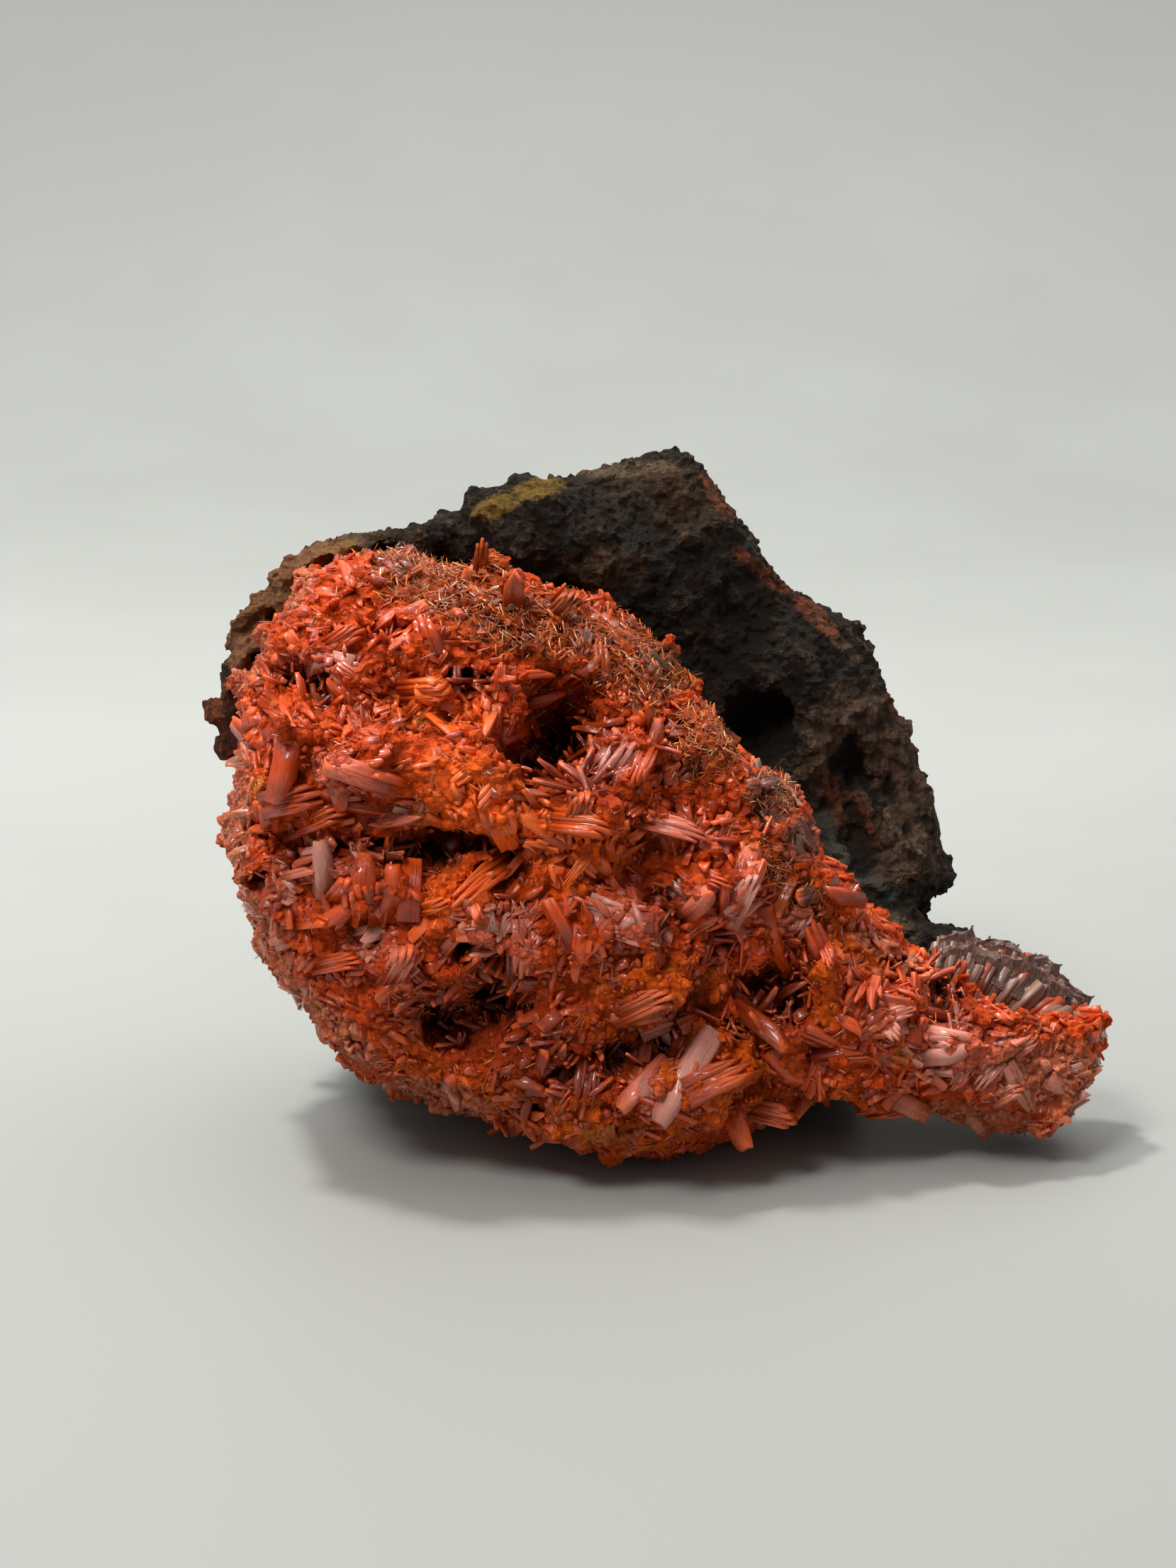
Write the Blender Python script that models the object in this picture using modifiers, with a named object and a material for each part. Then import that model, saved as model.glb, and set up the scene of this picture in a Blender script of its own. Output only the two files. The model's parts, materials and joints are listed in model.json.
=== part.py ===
"""Crocoite on matrix, a hand specimen lying on its underside.

A thick crust of orange-red crocoite blades faces the viewer and runs out into an arm at the lower
right. Dark gossan rock backs it and stands up behind it, and a fan of grey columns grows on the arm.

Shapes are placed in the picture plane, the way the specimen is seen from in front: x runs to the
right, w runs up the picture and depth runs away from the viewer, all in millimetres from the point
where the specimen first touches the table. The row's origin lies further back on the table, in the
middle of the flat face that the specimen rests on.
"""

import math
import random

import bmesh
import bpy
from mathutils import Matrix, Vector
from mathutils.bvhtree import BVHTree

MM = 0.001

# Driving dimensions, in millimetres and degrees
SPECIMEN_WIDTH = 66.0
VIEW_TILT = 14.0
VIEW_DISTANCE = 205.0
REST_CENTRE = (0.0, 10.0, 0.0)
BED_GAP = 0.3
CRUST_GRAIN = 0.9
MATRIX_GRAIN = 1.0
DRUSE_BED_GRAIN = 0.5
CRUST_TRIANGLES = 2200
MATRIX_TRIANGLES = 2000

# Base colour, roughness, metallic
FINISHES = {
    "crocoite_crust": ((0.56, 0.09, 0.02), 0.35, 0.0),
    "gossan_matrix": ((0.03, 0.022, 0.017), 0.85, 0.0),
    "column_druse": ((0.23, 0.17, 0.14), 0.3, 0.0),
}

# Outlines are read in pixels of the upright picture, 1659 wide and 2212 high
SPECIMEN_WIDTH_PIXELS = 1258.0
MM_PER_PIXEL = SPECIMEN_WIDTH / SPECIMEN_WIDTH_PIXELS
ORIGIN_PIXEL = (874.0, 1648.0)
CENTRE_PIXEL = (829.5, 1106.0)

CRUST_OUTLINE = [
    (322, 1010), (340, 960), (372, 900), (392, 856), (430, 808), (480, 775), (531, 760),
    (597, 752), (652, 763), (680, 796), (720, 816), (747, 843), (780, 824), (818, 820),
    (852, 851), (885, 884), (940, 915), (979, 956), (1000, 995), (1017, 1034), (1045, 1078),
    (1090, 1089), (1117, 1117), (1128, 1156), (1138, 1203), (1172, 1221), (1190, 1246),
    (1214, 1270), (1239, 1292), (1263, 1304), (1292, 1337), (1323, 1360), (1374, 1398),
    (1422, 1429), (1490, 1431), (1501, 1405), (1548, 1414), (1566, 1432), (1562, 1452),
    (1550, 1493), (1537, 1537),
    (1524, 1556), (1515, 1590), (1488, 1604), (1407, 1607), (1355, 1592), (1288, 1573),
    (1213, 1579), (1222, 1556), (1161, 1548), (1130, 1554), (1124, 1577), (1089, 1593),
    (1062, 1620), (1001, 1627), (962, 1637), (874, 1636), (813, 1625), (730, 1595),
    (653, 1567), (575, 1542), (515, 1532), (476, 1490), (442, 1440), (411, 1404), (382, 1371),
    (356, 1316), (343, 1272), (330, 1244), (322, 1206), (318, 1161), (320, 1085), (318, 1050),
]

MATRIX_OUTLINE = [
    (318, 1010), (306, 962), (313, 933), (332, 905), (363, 878), (380, 833), (415, 790),
    (446, 776), (450, 757), (500, 750), (560, 741), (603, 736), (620, 724), (658, 718),
    (680, 700), (712, 684), (752, 668), (795, 664), (818, 674), (838, 656), (885, 648),
    (940, 638), (975, 637), (992, 662), (1012, 682), (1030, 712), (1060, 755), (1072, 782),
    (1117, 818), (1164, 845), (1205, 878), (1228, 905), (1236, 938), (1258, 975), (1272, 1000),
    (1290, 1048), (1300, 1082), (1320, 1112), (1322, 1150), (1332, 1180), (1352, 1222),
    (1358, 1248), (1338, 1266), (1300, 1268), (1290, 1294), (1300, 1307), (1330, 1312),
    (1362, 1308), (1380, 1328), (1430, 1400), (1490, 1460), (1455, 1560), (1388, 1592),
    (1335, 1586), (1250, 1565), (1150, 1525), (1100, 1560), (1060, 1600), (1000, 1622),
    (874, 1636), (774, 1612), (686, 1579), (600, 1550), (520, 1515), (440, 1410), (390, 1310),
    (352, 1200), (338, 1100), (330, 1050),
]

# Lumps: x, w, depth, half width, half height, half depth, turn
CRUST_LUMPS = [
    (-11.0, 24.0, 3.0, 19.0, 21.5, 15.5, -20.0),
    (-18.0, 36.0, 2.0, 11.0, 10.0, 11.0, 20.0),
    (-3.0, 10.5, 2.5, 17.0, 10.5, 12.0, -12.0),
    (6.5, 22.0, 1.5, 12.5, 16.0, 10.5, -42.0),
    (13.5, 13.0, 2.5, 13.0, 8.5, 9.0, -32.0),
    (25.0, 10.0, 2.6, 14.0, 6.8, 6.4, -22.0),
    (32.5, 6.5, 3.0, 7.0, 5.8, 5.0, -20.0),
    (0.0, 4.0, 11.0, 11.0, 6.0, 9.0, 0.0),
    (-13.0, 29.5, -9.5, 13.0, 3.6, 5.0, -9.0),
    (-2.5, 27.2, -8.6, 6.0, 2.6, 4.2, 8.0),
    (-1.0, 16.5, -7.5, 7.0, 4.0, 3.6, -14.0),
    (-24.0, 25.0, -3.5, 5.5, 9.0, 6.5, 0.0),
    (-15.0, 37.8, -7.0, 7.0, 4.0, 4.0, 10.0),
    (8.0, 30.0, -4.0, 4.5, 5.0, 5.0, 30.0),
]

CRUST_PITS = [
    (-12.0, 23.6, -13.5, 7.0, 2.6, 5.5, -14.0),
    (-4.8, 32.0, -9.0, 3.6, 5.4, 7.0, -20.0),
    (-9.0, 11.0, -11.0, 3.6, 3.0, 4.5, 10.0),
    (-16.5, 35.0, -11.5, 3.2, 1.8, 3.0, 0.0),
    (12.5, 16.0, -7.0, 3.6, 2.2, 4.0, 20.0),
    (2.5, 8.6, -9.0, 4.2, 2.0, 3.6, -16.0),
    (23.5, 13.4, -3.6, 2.6, 2.4, 3.2, -30.0),
    (6.2, 11.6, -8.0, 2.2, 1.6, 3.0, 0.0),
    (-24.5, 24.2, -9.0, 1.8, 1.6, 3.0, 0.0),
]

MATRIX_LUMPS = [
    (-7.0, 26.0, 15.0, 21.0, 20.0, 10.5, 0.0),
    (-26.0, 36.0, 8.5, 5.5, 8.0, 6.0, -20.0),
    (-21.0, 43.0, 9.5, 8.0, 5.5, 7.0, 25.0),
    (-11.0, 46.0, 10.5, 8.0, 5.0, 7.0, 8.0),
    (-3.0, 45.0, 10.5, 7.5, 8.0, 7.5, 0.0),
    (4.5, 44.0, 14.5, 9.0, 12.0, 9.0, -10.0),
    (10.0, 34.0, 15.0, 12.0, 12.0, 8.0, -35.0),
    (18.0, 33.0, 17.0, 8.0, 13.0, 6.0, 28.0),
    (21.0, 25.0, 17.5, 6.0, 12.0, 5.0, 20.0),
    (16.0, 20.0, 14.0, 8.0, 9.0, 6.0, -35.0),
    (24.0, 13.0, 10.0, 9.0, 5.5, 4.5, -25.0),
    (29.0, 9.0, 9.5, 6.5, 3.8, 4.0, -24.0),
    (-4.0, 14.0, 17.0, 20.0, 12.0, 10.0, 6.0),
    (7.0, 9.0, 15.0, 13.0, 8.5, 9.0, -16.0),
]

MATRIX_PITS = [
    (6.2, 36.0, 3.5, 5.0, 6.0, 4.5, -35.0),
    (10.6, 32.5, 7.5, 2.6, 3.4, 6.0, -10.0),
    (17.5, 27.5, 9.0, 1.4, 8.0, 4.0, 10.0),
    (13.5, 26.0, 5.0, 3.0, 7.0, 4.5, 35.0),
    (-2.8, 38.0, 1.5, 5.0, 4.0, 5.0, -10.0),
]


# Blades that show one by one: root pixel, tip pixel, width, how far the tip stands out, and form
LATH, PLATE, BLOCK = "lath", "plate", "block"
THICKNESS_BY_WIDTH = {LATH: 0.6, PLATE: 0.4, BLOCK: 0.85}
SIDES = {LATH: 4, PLATE: 4, BLOCK: 6}
CRUST_BLADES = [
    # High on the left shoulder
    ((369, 982), (407, 1021), 1.5, 1.4, PLATE), ((560, 870), (596, 853), 1.3, 1.0, BLOCK),
    ((675, 804), (679, 761), 1.0, 1.4, PLATE), ((723, 856), (728, 807), 1.7, 1.4, PLATE),
    ((784, 862), (810, 834), 1.3, 1.0, BLOCK), ((841, 866), (905, 912), 1.0, 1.2, LATH),
    ((577, 973), (627, 970), 1.6, 1.2, BLOCK), ((470, 905), (505, 880), 1.4, 1.0, BLOCK),
    # Along the ledge and its cavities
    ((740, 998), (800, 983), 0.9, 1.4, LATH), ((712, 1043), (756, 1026), 1.5, 1.0, BLOCK),
    ((922, 1053), (900, 1101), 1.2, 1.4, BLOCK), ((925, 1052), (936, 1015), 1.1, 1.6, BLOCK),
    ((855, 1096), (897, 1046), 1.6, 0.8, PLATE), ((793, 1161), (860, 1167), 1.8, 1.6, BLOCK),
    ((813, 1150), (822, 1122), 1.5, 1.6, BLOCK), ((908, 1158), (998, 1181), 1.4, 1.4, PLATE),
    ((720, 1214), (640, 1273), 1.6, 1.2, BLOCK), ((765, 1220), (756, 1248), 0.9, 0.8, BLOCK),
    ((813, 1259), (796, 1290), 1.0, 0.8, LATH), ((843, 1282), (928, 1315), 2.7, 1.2, PLATE),
    # Left flank
    ((544, 1108), (460, 1080), 2.4, 1.6, BLOCK), ((454, 1251), (453, 1194), 1.5, 1.6, BLOCK),
    ((513, 1257), (520, 1205), 2.2, 1.4, BLOCK), ((547, 1285), (558, 1228), 1.7, 1.5, BLOCK),
    ((509, 1296), (506, 1257), 1.4, 1.6, PLATE), ((457, 1305), (485, 1288), 1.2, 1.4, BLOCK),
    ((415, 1306), (454, 1302), 0.9, 1.2, LATH), ((466, 1274), (491, 1243), 1.5, 1.2, PLATE),
    ((453, 1365), (502, 1355), 1.2, 1.2, BLOCK), ((550, 1380), (571, 1344), 1.6, 1.4, BLOCK),
    ((384, 1134), (452, 1120), 2.4, 1.2, BLOCK), ((432, 1164), (477, 1145), 1.5, 1.0, BLOCK),
    ((597, 1281), (628, 1274), 0.9, 1.0, BLOCK), ((665, 1268), (676, 1291), 0.9, 0.9, LATH),
    # Right flank
    ((1035, 1297), (1063, 1238), 1.5, 1.6, PLATE), ((1040, 1303), (1074, 1373), 0.9, 1.8, LATH),
    ((945, 1218), (1029, 1244), 1.1, 1.4, LATH), ((1038, 1244), (1080, 1213), 0.9, 1.0, LATH),
    ((1082, 1289), (1103, 1376), 1.4, 1.6, BLOCK), ((1116, 1325), (1141, 1297), 1.3, 1.0, BLOCK),
    ((1162, 1319), (1175, 1359), 0.9, 1.6, LATH), ((1043, 1418), (1113, 1471), 1.4, 1.8, LATH),
    ((970, 1289), (993, 1266), 1.6, 1.2, BLOCK), ((1183, 1434), (1217, 1454), 0.9, 1.2, LATH),
    # Lower body, down to the blades that reach the table
    ((739, 1311), (742, 1381), 2.1, 2.0, PLATE), ((721, 1345), (721, 1416), 0.9, 1.6, LATH),
    ((818, 1322), (816, 1360), 1.3, 1.0, BLOCK), ((868, 1317), (930, 1338), 0.9, 1.6, PLATE),
    ((882, 1432), (941, 1404), 1.8, 1.2, BLOCK), ((999, 1468), (933, 1581), 2.5, 2.2, BLOCK),
    ((927, 1502), (874, 1558), 1.4, 1.4, BLOCK), ((971, 1567), (992, 1663), 1.1, 1.8, LATH),
    ((981, 1539), (1076, 1494), 2.8, 1.4, BLOCK), ((1062, 1569), (1121, 1583), 1.6, 1.0, BLOCK),
    ((1037, 1569), (1051, 1618), 1.6, 1.2, BLOCK), ((1093, 1491), (1138, 1539), 1.6, 1.4, BLOCK),
    ((835, 1496), (826, 1575), 2.1, 1.0, BLOCK), ((781, 1569), (797, 1546), 1.0, 1.0, BLOCK),
    # Arm
    ((1251, 1437), (1291, 1420), 1.0, 1.5, PLATE), ((1251, 1448), (1270, 1462), 1.2, 1.3, PLATE),
    ((1290, 1462), (1305, 1384), 1.4, 1.6, BLOCK), ((1316, 1351), (1386, 1408), 0.9, 1.4, LATH),
    ((1311, 1456), (1366, 1464), 1.2, 1.0, BLOCK), ((1318, 1493), (1355, 1490), 1.4, 1.0, BLOCK),
    ((1288, 1563), (1210, 1577), 1.4, 0.8, BLOCK), ((1414, 1551), (1442, 1535), 1.3, 0.8, BLOCK),
    ((1487, 1529), (1523, 1546), 1.5, 0.8, BLOCK), ((1403, 1509), (1380, 1537), 1.0, 0.8, BLOCK),
    ((1473, 1577), (1520, 1586), 1.2, 0.8, BLOCK), ((1445, 1479), (1467, 1464), 1.0, 0.8, BLOCK),
]
ROOT_DEPTH = 1.0

# Blades on the sides that the picture doesn't show, and how far they stand out
HIDDEN_BLADES = 34
HIDDEN_SEED = 7
HIDDEN_LENGTH = (0.6, 1.3)
HIDDEN_WIDTH = (1.1, 2.2)

# Fan of grey columns on the arm: one tip pixel for each, from the rock side to the arm's end
DRUSE_TIPS = [
    (1322, 1331), (1338, 1314), (1358, 1313), (1380, 1325), (1400, 1325), (1422, 1330),
    (1444, 1334), (1464, 1344), (1484, 1355), (1502, 1371), (1518, 1386), (1530, 1400),
]
DRUSE_ROOTS = ((1340, 1404), (1500, 1462))
DRUSE_DEPTHS = (2.9, 5.9)
DRUSE_STEP = 12.0
DRUSE_CORE = (28.8, 12.6, 4.4, 6.4, 2.7, 2.9, -24.0)
COLUMN_WIDTH = 2.1


def seen(x, w, depth):
    """The point that the viewer sees at x, w in the picture plane, at this depth behind it, in metres."""
    spread = 1.0 + depth / VIEW_DISTANCE
    x = CENTRE_X + (x - CENTRE_X) * spread
    w = CENTRE_W + (w - CENTRE_W) * spread
    return (RIGHT * x + UP * w + AWAY * depth - Vector(REST_CENTRE)) * MM


def in_plane(pixel):
    """A picture pixel as x, w in the picture plane."""
    return (
        (pixel[0] - ORIGIN_PIXEL[0]) * MM_PER_PIXEL,
        (ORIGIN_PIXEL[1] - pixel[1]) * MM_PER_PIXEL,
    )


RIGHT = Vector((1.0, 0.0, 0.0))
UP = Vector((0.0, math.sin(math.radians(VIEW_TILT)), math.cos(math.radians(VIEW_TILT))))
AWAY = Vector((0.0, math.cos(math.radians(VIEW_TILT)), -math.sin(math.radians(VIEW_TILT))))
PLANE_AXES = Matrix((RIGHT, UP, -AWAY)).transposed().to_4x4()
CENTRE_X, CENTRE_W = in_plane(CENTRE_PIXEL)
EYE = (RIGHT * CENTRE_X + UP * CENTRE_W - AWAY * VIEW_DISTANCE - Vector(REST_CENTRE)) * MM


def new_collection(name):
    collection = bpy.data.collections.new(name)
    bpy.context.scene.collection.children.link(collection)
    return collection


def object_of(name, mesh, collection):
    obj = bpy.data.objects.new(name, mesh)
    collection.objects.link(obj)
    return obj


def applied(obj):
    """Bakes an object's modifiers into its mesh."""
    graph = bpy.context.evaluated_depsgraph_get()
    mesh = bpy.data.meshes.new_from_object(obj.evaluated_get(graph))
    obj.modifiers.clear()
    obj.data = mesh
    return obj


def joined(name, pieces, collection):
    """One object from several, their meshes laid together."""
    whole = bmesh.new()
    for piece in pieces:
        whole.from_mesh(piece.data)
        bpy.data.objects.remove(piece)
    mesh = bpy.data.meshes.new(name)
    whole.to_mesh(mesh)
    whole.free()
    return object_of(name, mesh, collection)


def lump(x, w, depth, across, high, deep, turn):
    """An ellipsoid with its half sizes along the picture plane's axes, turned in that plane."""
    bpy.ops.mesh.primitive_ico_sphere_add(subdivisions=3, radius=1.0)
    ball = bpy.context.object
    size = Matrix.Diagonal((across * MM, high * MM, deep * MM, 1.0))
    spin = Matrix.Rotation(math.radians(turn), 4, "Z")
    ball.data.transform(Matrix.Translation(seen(x, w, depth)) @ PLANE_AXES @ spin @ size)
    return ball


def outline_prism(name, outline, near, far, collection):
    """The outline as a solid that widens away from the eye, so that it fills the outline at any depth."""
    curve = bpy.data.curves.new(name, "CURVE")
    curve.dimensions = "2D"
    curve.fill_mode = "BOTH"
    curve.extrude = (far - near) / 2
    spline = curve.splines.new("POLY")
    spline.points.add(len(outline) - 1)
    for point, pixel in zip(spline.points, outline):
        point.co = (*in_plane(pixel), 0.0, 1.0)
    spline.use_cyclic_u = True
    flat = object_of(name + "_curve", curve, collection)
    graph = bpy.context.evaluated_depsgraph_get()
    mesh = bpy.data.meshes.new_from_object(flat.evaluated_get(graph))
    bpy.data.objects.remove(flat)
    shape = bmesh.new()
    shape.from_mesh(mesh)
    bmesh.ops.remove_doubles(shape, verts=shape.verts, dist=0.001)
    for vertex in shape.verts:
        x, w, along = vertex.co
        vertex.co = seen(x, w, (near + far) / 2 + along)
    bmesh.ops.recalc_face_normals(shape, faces=shape.faces)
    shape.to_mesh(mesh)
    shape.free()
    return object_of(name, mesh, collection)


def boolean(obj, other, operation, self_overlaps=False):
    modifier = obj.modifiers.new(operation.lower(), "BOOLEAN")
    modifier.operation = operation
    modifier.object = other
    modifier.use_self = self_overlaps
    return applied(obj)


def remesh(obj, grain):
    modifier = obj.modifiers.new("remesh", "REMESH")
    modifier.mode = "VOXEL"
    modifier.voxel_size = grain * MM
    return applied(obj)


def smooth(obj, times, factor=0.5):
    modifier = obj.modifiers.new("smooth", "SMOOTH")
    modifier.iterations = times
    modifier.factor = factor
    return applied(obj)


def roughen(obj, height, grain, kind="CLOUDS"):
    """Moves the surface in and out by up to half this height, in lumps of about this grain."""
    texture = bpy.data.textures.new(kind.lower(), kind)
    texture.noise_scale = grain * MM
    modifier = obj.modifiers.new("roughen", "DISPLACE")
    modifier.texture = texture
    modifier.texture_coords = "LOCAL"
    modifier.strength = height * MM
    return applied(obj)


def swell(obj, distance):
    modifier = obj.modifiers.new("swell", "DISPLACE")
    modifier.strength = distance * MM
    modifier.mid_level = 0.0
    return applied(obj)


def thin_out(obj, triangles):
    """Collapses edges until about this many triangles are left."""
    modifier = obj.modifiers.new("triangles", "TRIANGULATE")
    applied(obj)
    modifier = obj.modifiers.new("thin_out", "DECIMATE")
    modifier.ratio = min(1.0, triangles / len(obj.data.polygons))
    return applied(obj)


def copy_of(obj, name, collection):
    return object_of(name, obj.data.copy(), collection)


def keep_largest(obj):
    """Drops the crumbs that a cut leaves beside the main body."""
    shape = bmesh.new()
    shape.from_mesh(obj.data)
    left = set(shape.verts)
    islands = []
    while left:
        start = left.pop()
        island, front = [start], [start]
        while front:
            for edge in front.pop().link_edges:
                for vertex in edge.verts:
                    if vertex in left:
                        left.remove(vertex)
                        island.append(vertex)
                        front.append(vertex)
        islands.append(island)
    islands.sort(key=len)
    crumbs = [vertex for island in islands[:-1] for vertex in island]
    bmesh.ops.delete(shape, geom=crumbs, context="VERTS")
    shape.to_mesh(obj.data)
    shape.free()
    return obj


def floor_cutter(collection):
    """A block below the table, which cuts the flat face that the specimen rests on."""
    bpy.ops.mesh.primitive_cube_add(size=1.0)
    block = bpy.context.object
    size = Vector((120.0, 120.0, 30.0)) * MM
    block.data.transform(Matrix.Translation((0.0, 0.0, -size.z / 2)) @ Matrix.Diagonal((*size, 1.0)))
    for owner in list(block.users_collection):
        owner.objects.unlink(block)
    collection.objects.link(block)
    block.name = "table"
    return block


def carved_body(name, lumps, pits, outline, grain, collection, cutters):
    """Lumps melted together, hollowed by pits and trimmed to the outline that the viewer sees."""
    body = remesh(joined(name, [lump(*row) for row in lumps], collection), grain)
    hollows = remesh(joined(name + "_pits", [lump(*row) for row in pits], cutters), grain)
    boolean(body, hollows, "DIFFERENCE")
    prism = outline_prism(name + "_outline", outline, -30.0, 50.0, cutters)
    boolean(body, prism, "INTERSECT")
    for helper in (hollows, prism):
        bpy.data.objects.remove(helper)
    return smooth(remesh(keep_largest(body), grain), 3)


def tree_of(obj):
    return BVHTree.FromPolygons(
        [vertex.co for vertex in obj.data.vertices],
        [face.vertices for face in obj.data.polygons],
    )


def sight(pixel):
    """Direction of the line of sight from the eye through a picture pixel."""
    return (seen(*in_plane(pixel), 0.0) - EYE).normalized()


def blade(root, tip, width, form, turn, slant):
    """A prism from root to tip with a slanting end, its wide side square to the line of sight."""
    along = (tip - root).normalized()
    across = along.cross(root - EYE).normalized()
    across.rotate(Matrix.Rotation(math.radians(turn), 3, along))
    axes = Matrix((across, along.cross(across), along)).transposed().to_4x4()
    sides = SIDES[form]
    bpy.ops.mesh.primitive_cylinder_add(vertices=sides, radius=0.5 / math.cos(math.pi / sides), depth=1.0)
    prism = bpy.context.object
    prism.data.transform(Matrix.Rotation(math.pi / sides, 4, "Z"))
    for vertex in prism.data.vertices:
        if vertex.co.z > 0.0:
            vertex.co.z += slant * vertex.co.x
    thickness = width * THICKNESS_BY_WIDTH[form]
    size = Matrix.Diagonal((width * MM, thickness * MM, (tip - root).length, 1.0))
    prism.data.transform(Matrix.Translation((root + tip) / 2) @ axes @ size)
    return prism


def picked_blades(crust):
    """The blades that show one by one, each found on the crust along its line of sight."""
    tree = tree_of(crust)
    dice = random.Random(HIDDEN_SEED)
    blades = []
    for root_pixel, tip_pixel, width, rise, form in CRUST_BLADES:
        sight_to_root = sight(root_pixel)
        sight_to_tip = sight(tip_pixel)
        root, normal = tree.ray_cast(EYE, sight_to_root)[:2]
        if root is None:
            continue
        beyond = tree.ray_cast(EYE, sight_to_tip)[0]
        reach = (root - EYE).length if beyond is None else (beyond - EYE).length
        tip = EYE + sight_to_tip * (reach - rise * MM)
        root = root - normal * 0.5 * MM
        root = root - (tip - root).normalized() * ROOT_DEPTH * MM
        blades.append((root, tip, width, form, dice.uniform(-20.0, 20.0), dice.uniform(-0.25, 0.25)))
    return blades


def hidden_blades(crust):
    """Seeded blades on the faces of the crust that look away from the viewer."""
    dice = random.Random(HIDDEN_SEED)
    faces = [
        face for face in crust.data.polygons
        if face.normal.dot((face.center - EYE).normalized()) > -0.1 and face.center.z > 2.0 * MM
    ]
    blades = []
    for face in dice.sample(faces, min(len(faces), HIDDEN_BLADES * 4)):
        lean = Vector((dice.uniform(-1.0, 1.0), dice.uniform(-1.0, 1.0), dice.uniform(-1.0, 1.0)))
        along = (face.normal + lean * 0.9).normalized()
        length = dice.uniform(*HIDDEN_LENGTH) * MM
        root = face.center - (face.normal * 0.5 + along * ROOT_DEPTH) * MM
        tip = face.center + along * length
        form = dice.choice((LATH, BLOCK, BLOCK))
        blades.append((root, tip, dice.uniform(*HIDDEN_WIDTH), form, dice.uniform(-90.0, 90.0), 0.25))
    return blades


def clear_of(trees, row):
    """Whether a blade keeps its distance from the other bodies."""
    root, tip, width = row[:3]
    for tree in trees:
        for step in range(2, 6):
            point = root.lerp(tip, step / 5)
            near, normal, _, distance = tree.find_nearest(point)
            outside = (point - near).dot(normal) > 0.0
            if distance < (width / 2 + BED_GAP) * 1.2 * MM or not outside:
                return False
    return True


def grow_blades(crust, neighbours, collection):
    """Fuses the blades to the crust."""
    trees = [tree_of(body) for body in neighbours]
    hidden = [row for row in hidden_blades(crust) if clear_of(trees, row)][:HIDDEN_BLADES]
    rows = [row for row in picked_blades(crust) if clear_of(trees, row)] + hidden
    for row in rows:
        grown = joined("blade", [blade(*row)], collection)
        boolean(crust, grown, "UNION")
        bpy.data.objects.remove(grown)


def column_druse(collection):
    """Rows of stout columns that spread from the arm, the back row tallest, grown together."""
    dice = random.Random(HIDDEN_SEED)
    left, right = Vector(DRUSE_ROOTS[0]), Vector(DRUSE_ROOTS[1])
    druse = thin_out(joined("column_druse", [lump(*DRUSE_CORE)], collection), 160)
    for row, depth in enumerate(reversed(DRUSE_DEPTHS)):
        for place, tip_pixel in enumerate(DRUSE_TIPS):
            root_pixel = left.lerp(right, place / (len(DRUSE_TIPS) - 1))
            root = seen(*in_plane(root_pixel), depth)
            lower = dice.uniform(0.0, 8.0) + DRUSE_STEP * row
            tip = seen(*in_plane((tip_pixel[0], tip_pixel[1] + lower)), depth)
            turn, slant = dice.uniform(-40.0, 40.0), dice.uniform(-0.3, 0.3)
            column = joined("column", [blade(root, tip, COLUMN_WIDTH, BLOCK, turn, slant)], collection)
            boolean(druse, column, "UNION")
            bpy.data.objects.remove(column)
    return druse


def finish(obj):
    """The part's own material."""
    colour, roughness, metallic = FINISHES[obj.name]
    material = bpy.data.materials.new(obj.name)
    material.use_nodes = True
    surface = material.node_tree.nodes["Principled BSDF"]
    surface.inputs["Base Color"].default_value = (*colour, 1.0)
    surface.inputs["Roughness"].default_value = roughness
    surface.inputs["Metallic"].default_value = metallic
    material.diffuse_color = (*colour, 1.0)
    obj.data.materials.clear()
    obj.data.materials.append(material)


def main():
    for obj in list(bpy.data.objects):
        bpy.data.objects.remove(obj)
    specimen = new_collection("crocoite_on_matrix")
    cutters = new_collection("cutters")
    table = floor_cutter(cutters)

    crust = carved_body("crocoite_crust", CRUST_LUMPS, CRUST_PITS, CRUST_OUTLINE, CRUST_GRAIN, specimen, cutters)
    roughen(crust, 1.6, 5.0)
    roughen(crust, 0.9, 1.8)
    thin_out(crust, CRUST_TRIANGLES)
    bed = swell(copy_of(crust, "crust_bed", cutters), BED_GAP)

    matrix = carved_body("gossan_matrix", MATRIX_LUMPS, MATRIX_PITS, MATRIX_OUTLINE, MATRIX_GRAIN, specimen, cutters)
    roughen(matrix, 2.0, 7.0)
    roughen(matrix, 1.2, 2.4)
    thin_out(matrix, MATRIX_TRIANGLES)
    boolean(matrix, bed, "DIFFERENCE")

    druse = column_druse(specimen)
    boolean(druse, bed, "DIFFERENCE")
    keep_largest(druse)
    druse_bed = swell(remesh(copy_of(druse, "druse_bed", cutters), DRUSE_BED_GRAIN), BED_GAP + DRUSE_BED_GRAIN / 2)
    boolean(matrix, druse_bed, "DIFFERENCE")
    keep_largest(matrix)

    grow_blades(crust, (matrix, druse), specimen)
    for body in (crust, matrix):
        boolean(body, table, "DIFFERENCE")
        keep_largest(body)
    for helper in (bed, druse_bed, table):
        bpy.data.objects.remove(helper)
    for body in (crust, matrix, druse):
        finish(body)


main()
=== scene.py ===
"""Crocoite on matrix: the looks of the specimen.

The rock and the crystal crust are remade finer over their solids, and thousands of crocoite blades,
slivers, grains and hair-fine needles grow on the crust where the picture shows them. A fan of grey
columns stands on the arm.

Places that are read off the picture are pixels of its upright frame, 1659 wide and 2212 high. Each
is carried onto the specimen along the viewer's line of sight.
"""

import json
import math

import bmesh
import bpy
import numpy as np
from mathutils import Matrix, Vector
from mathutils.bvhtree import BVHTree

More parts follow.
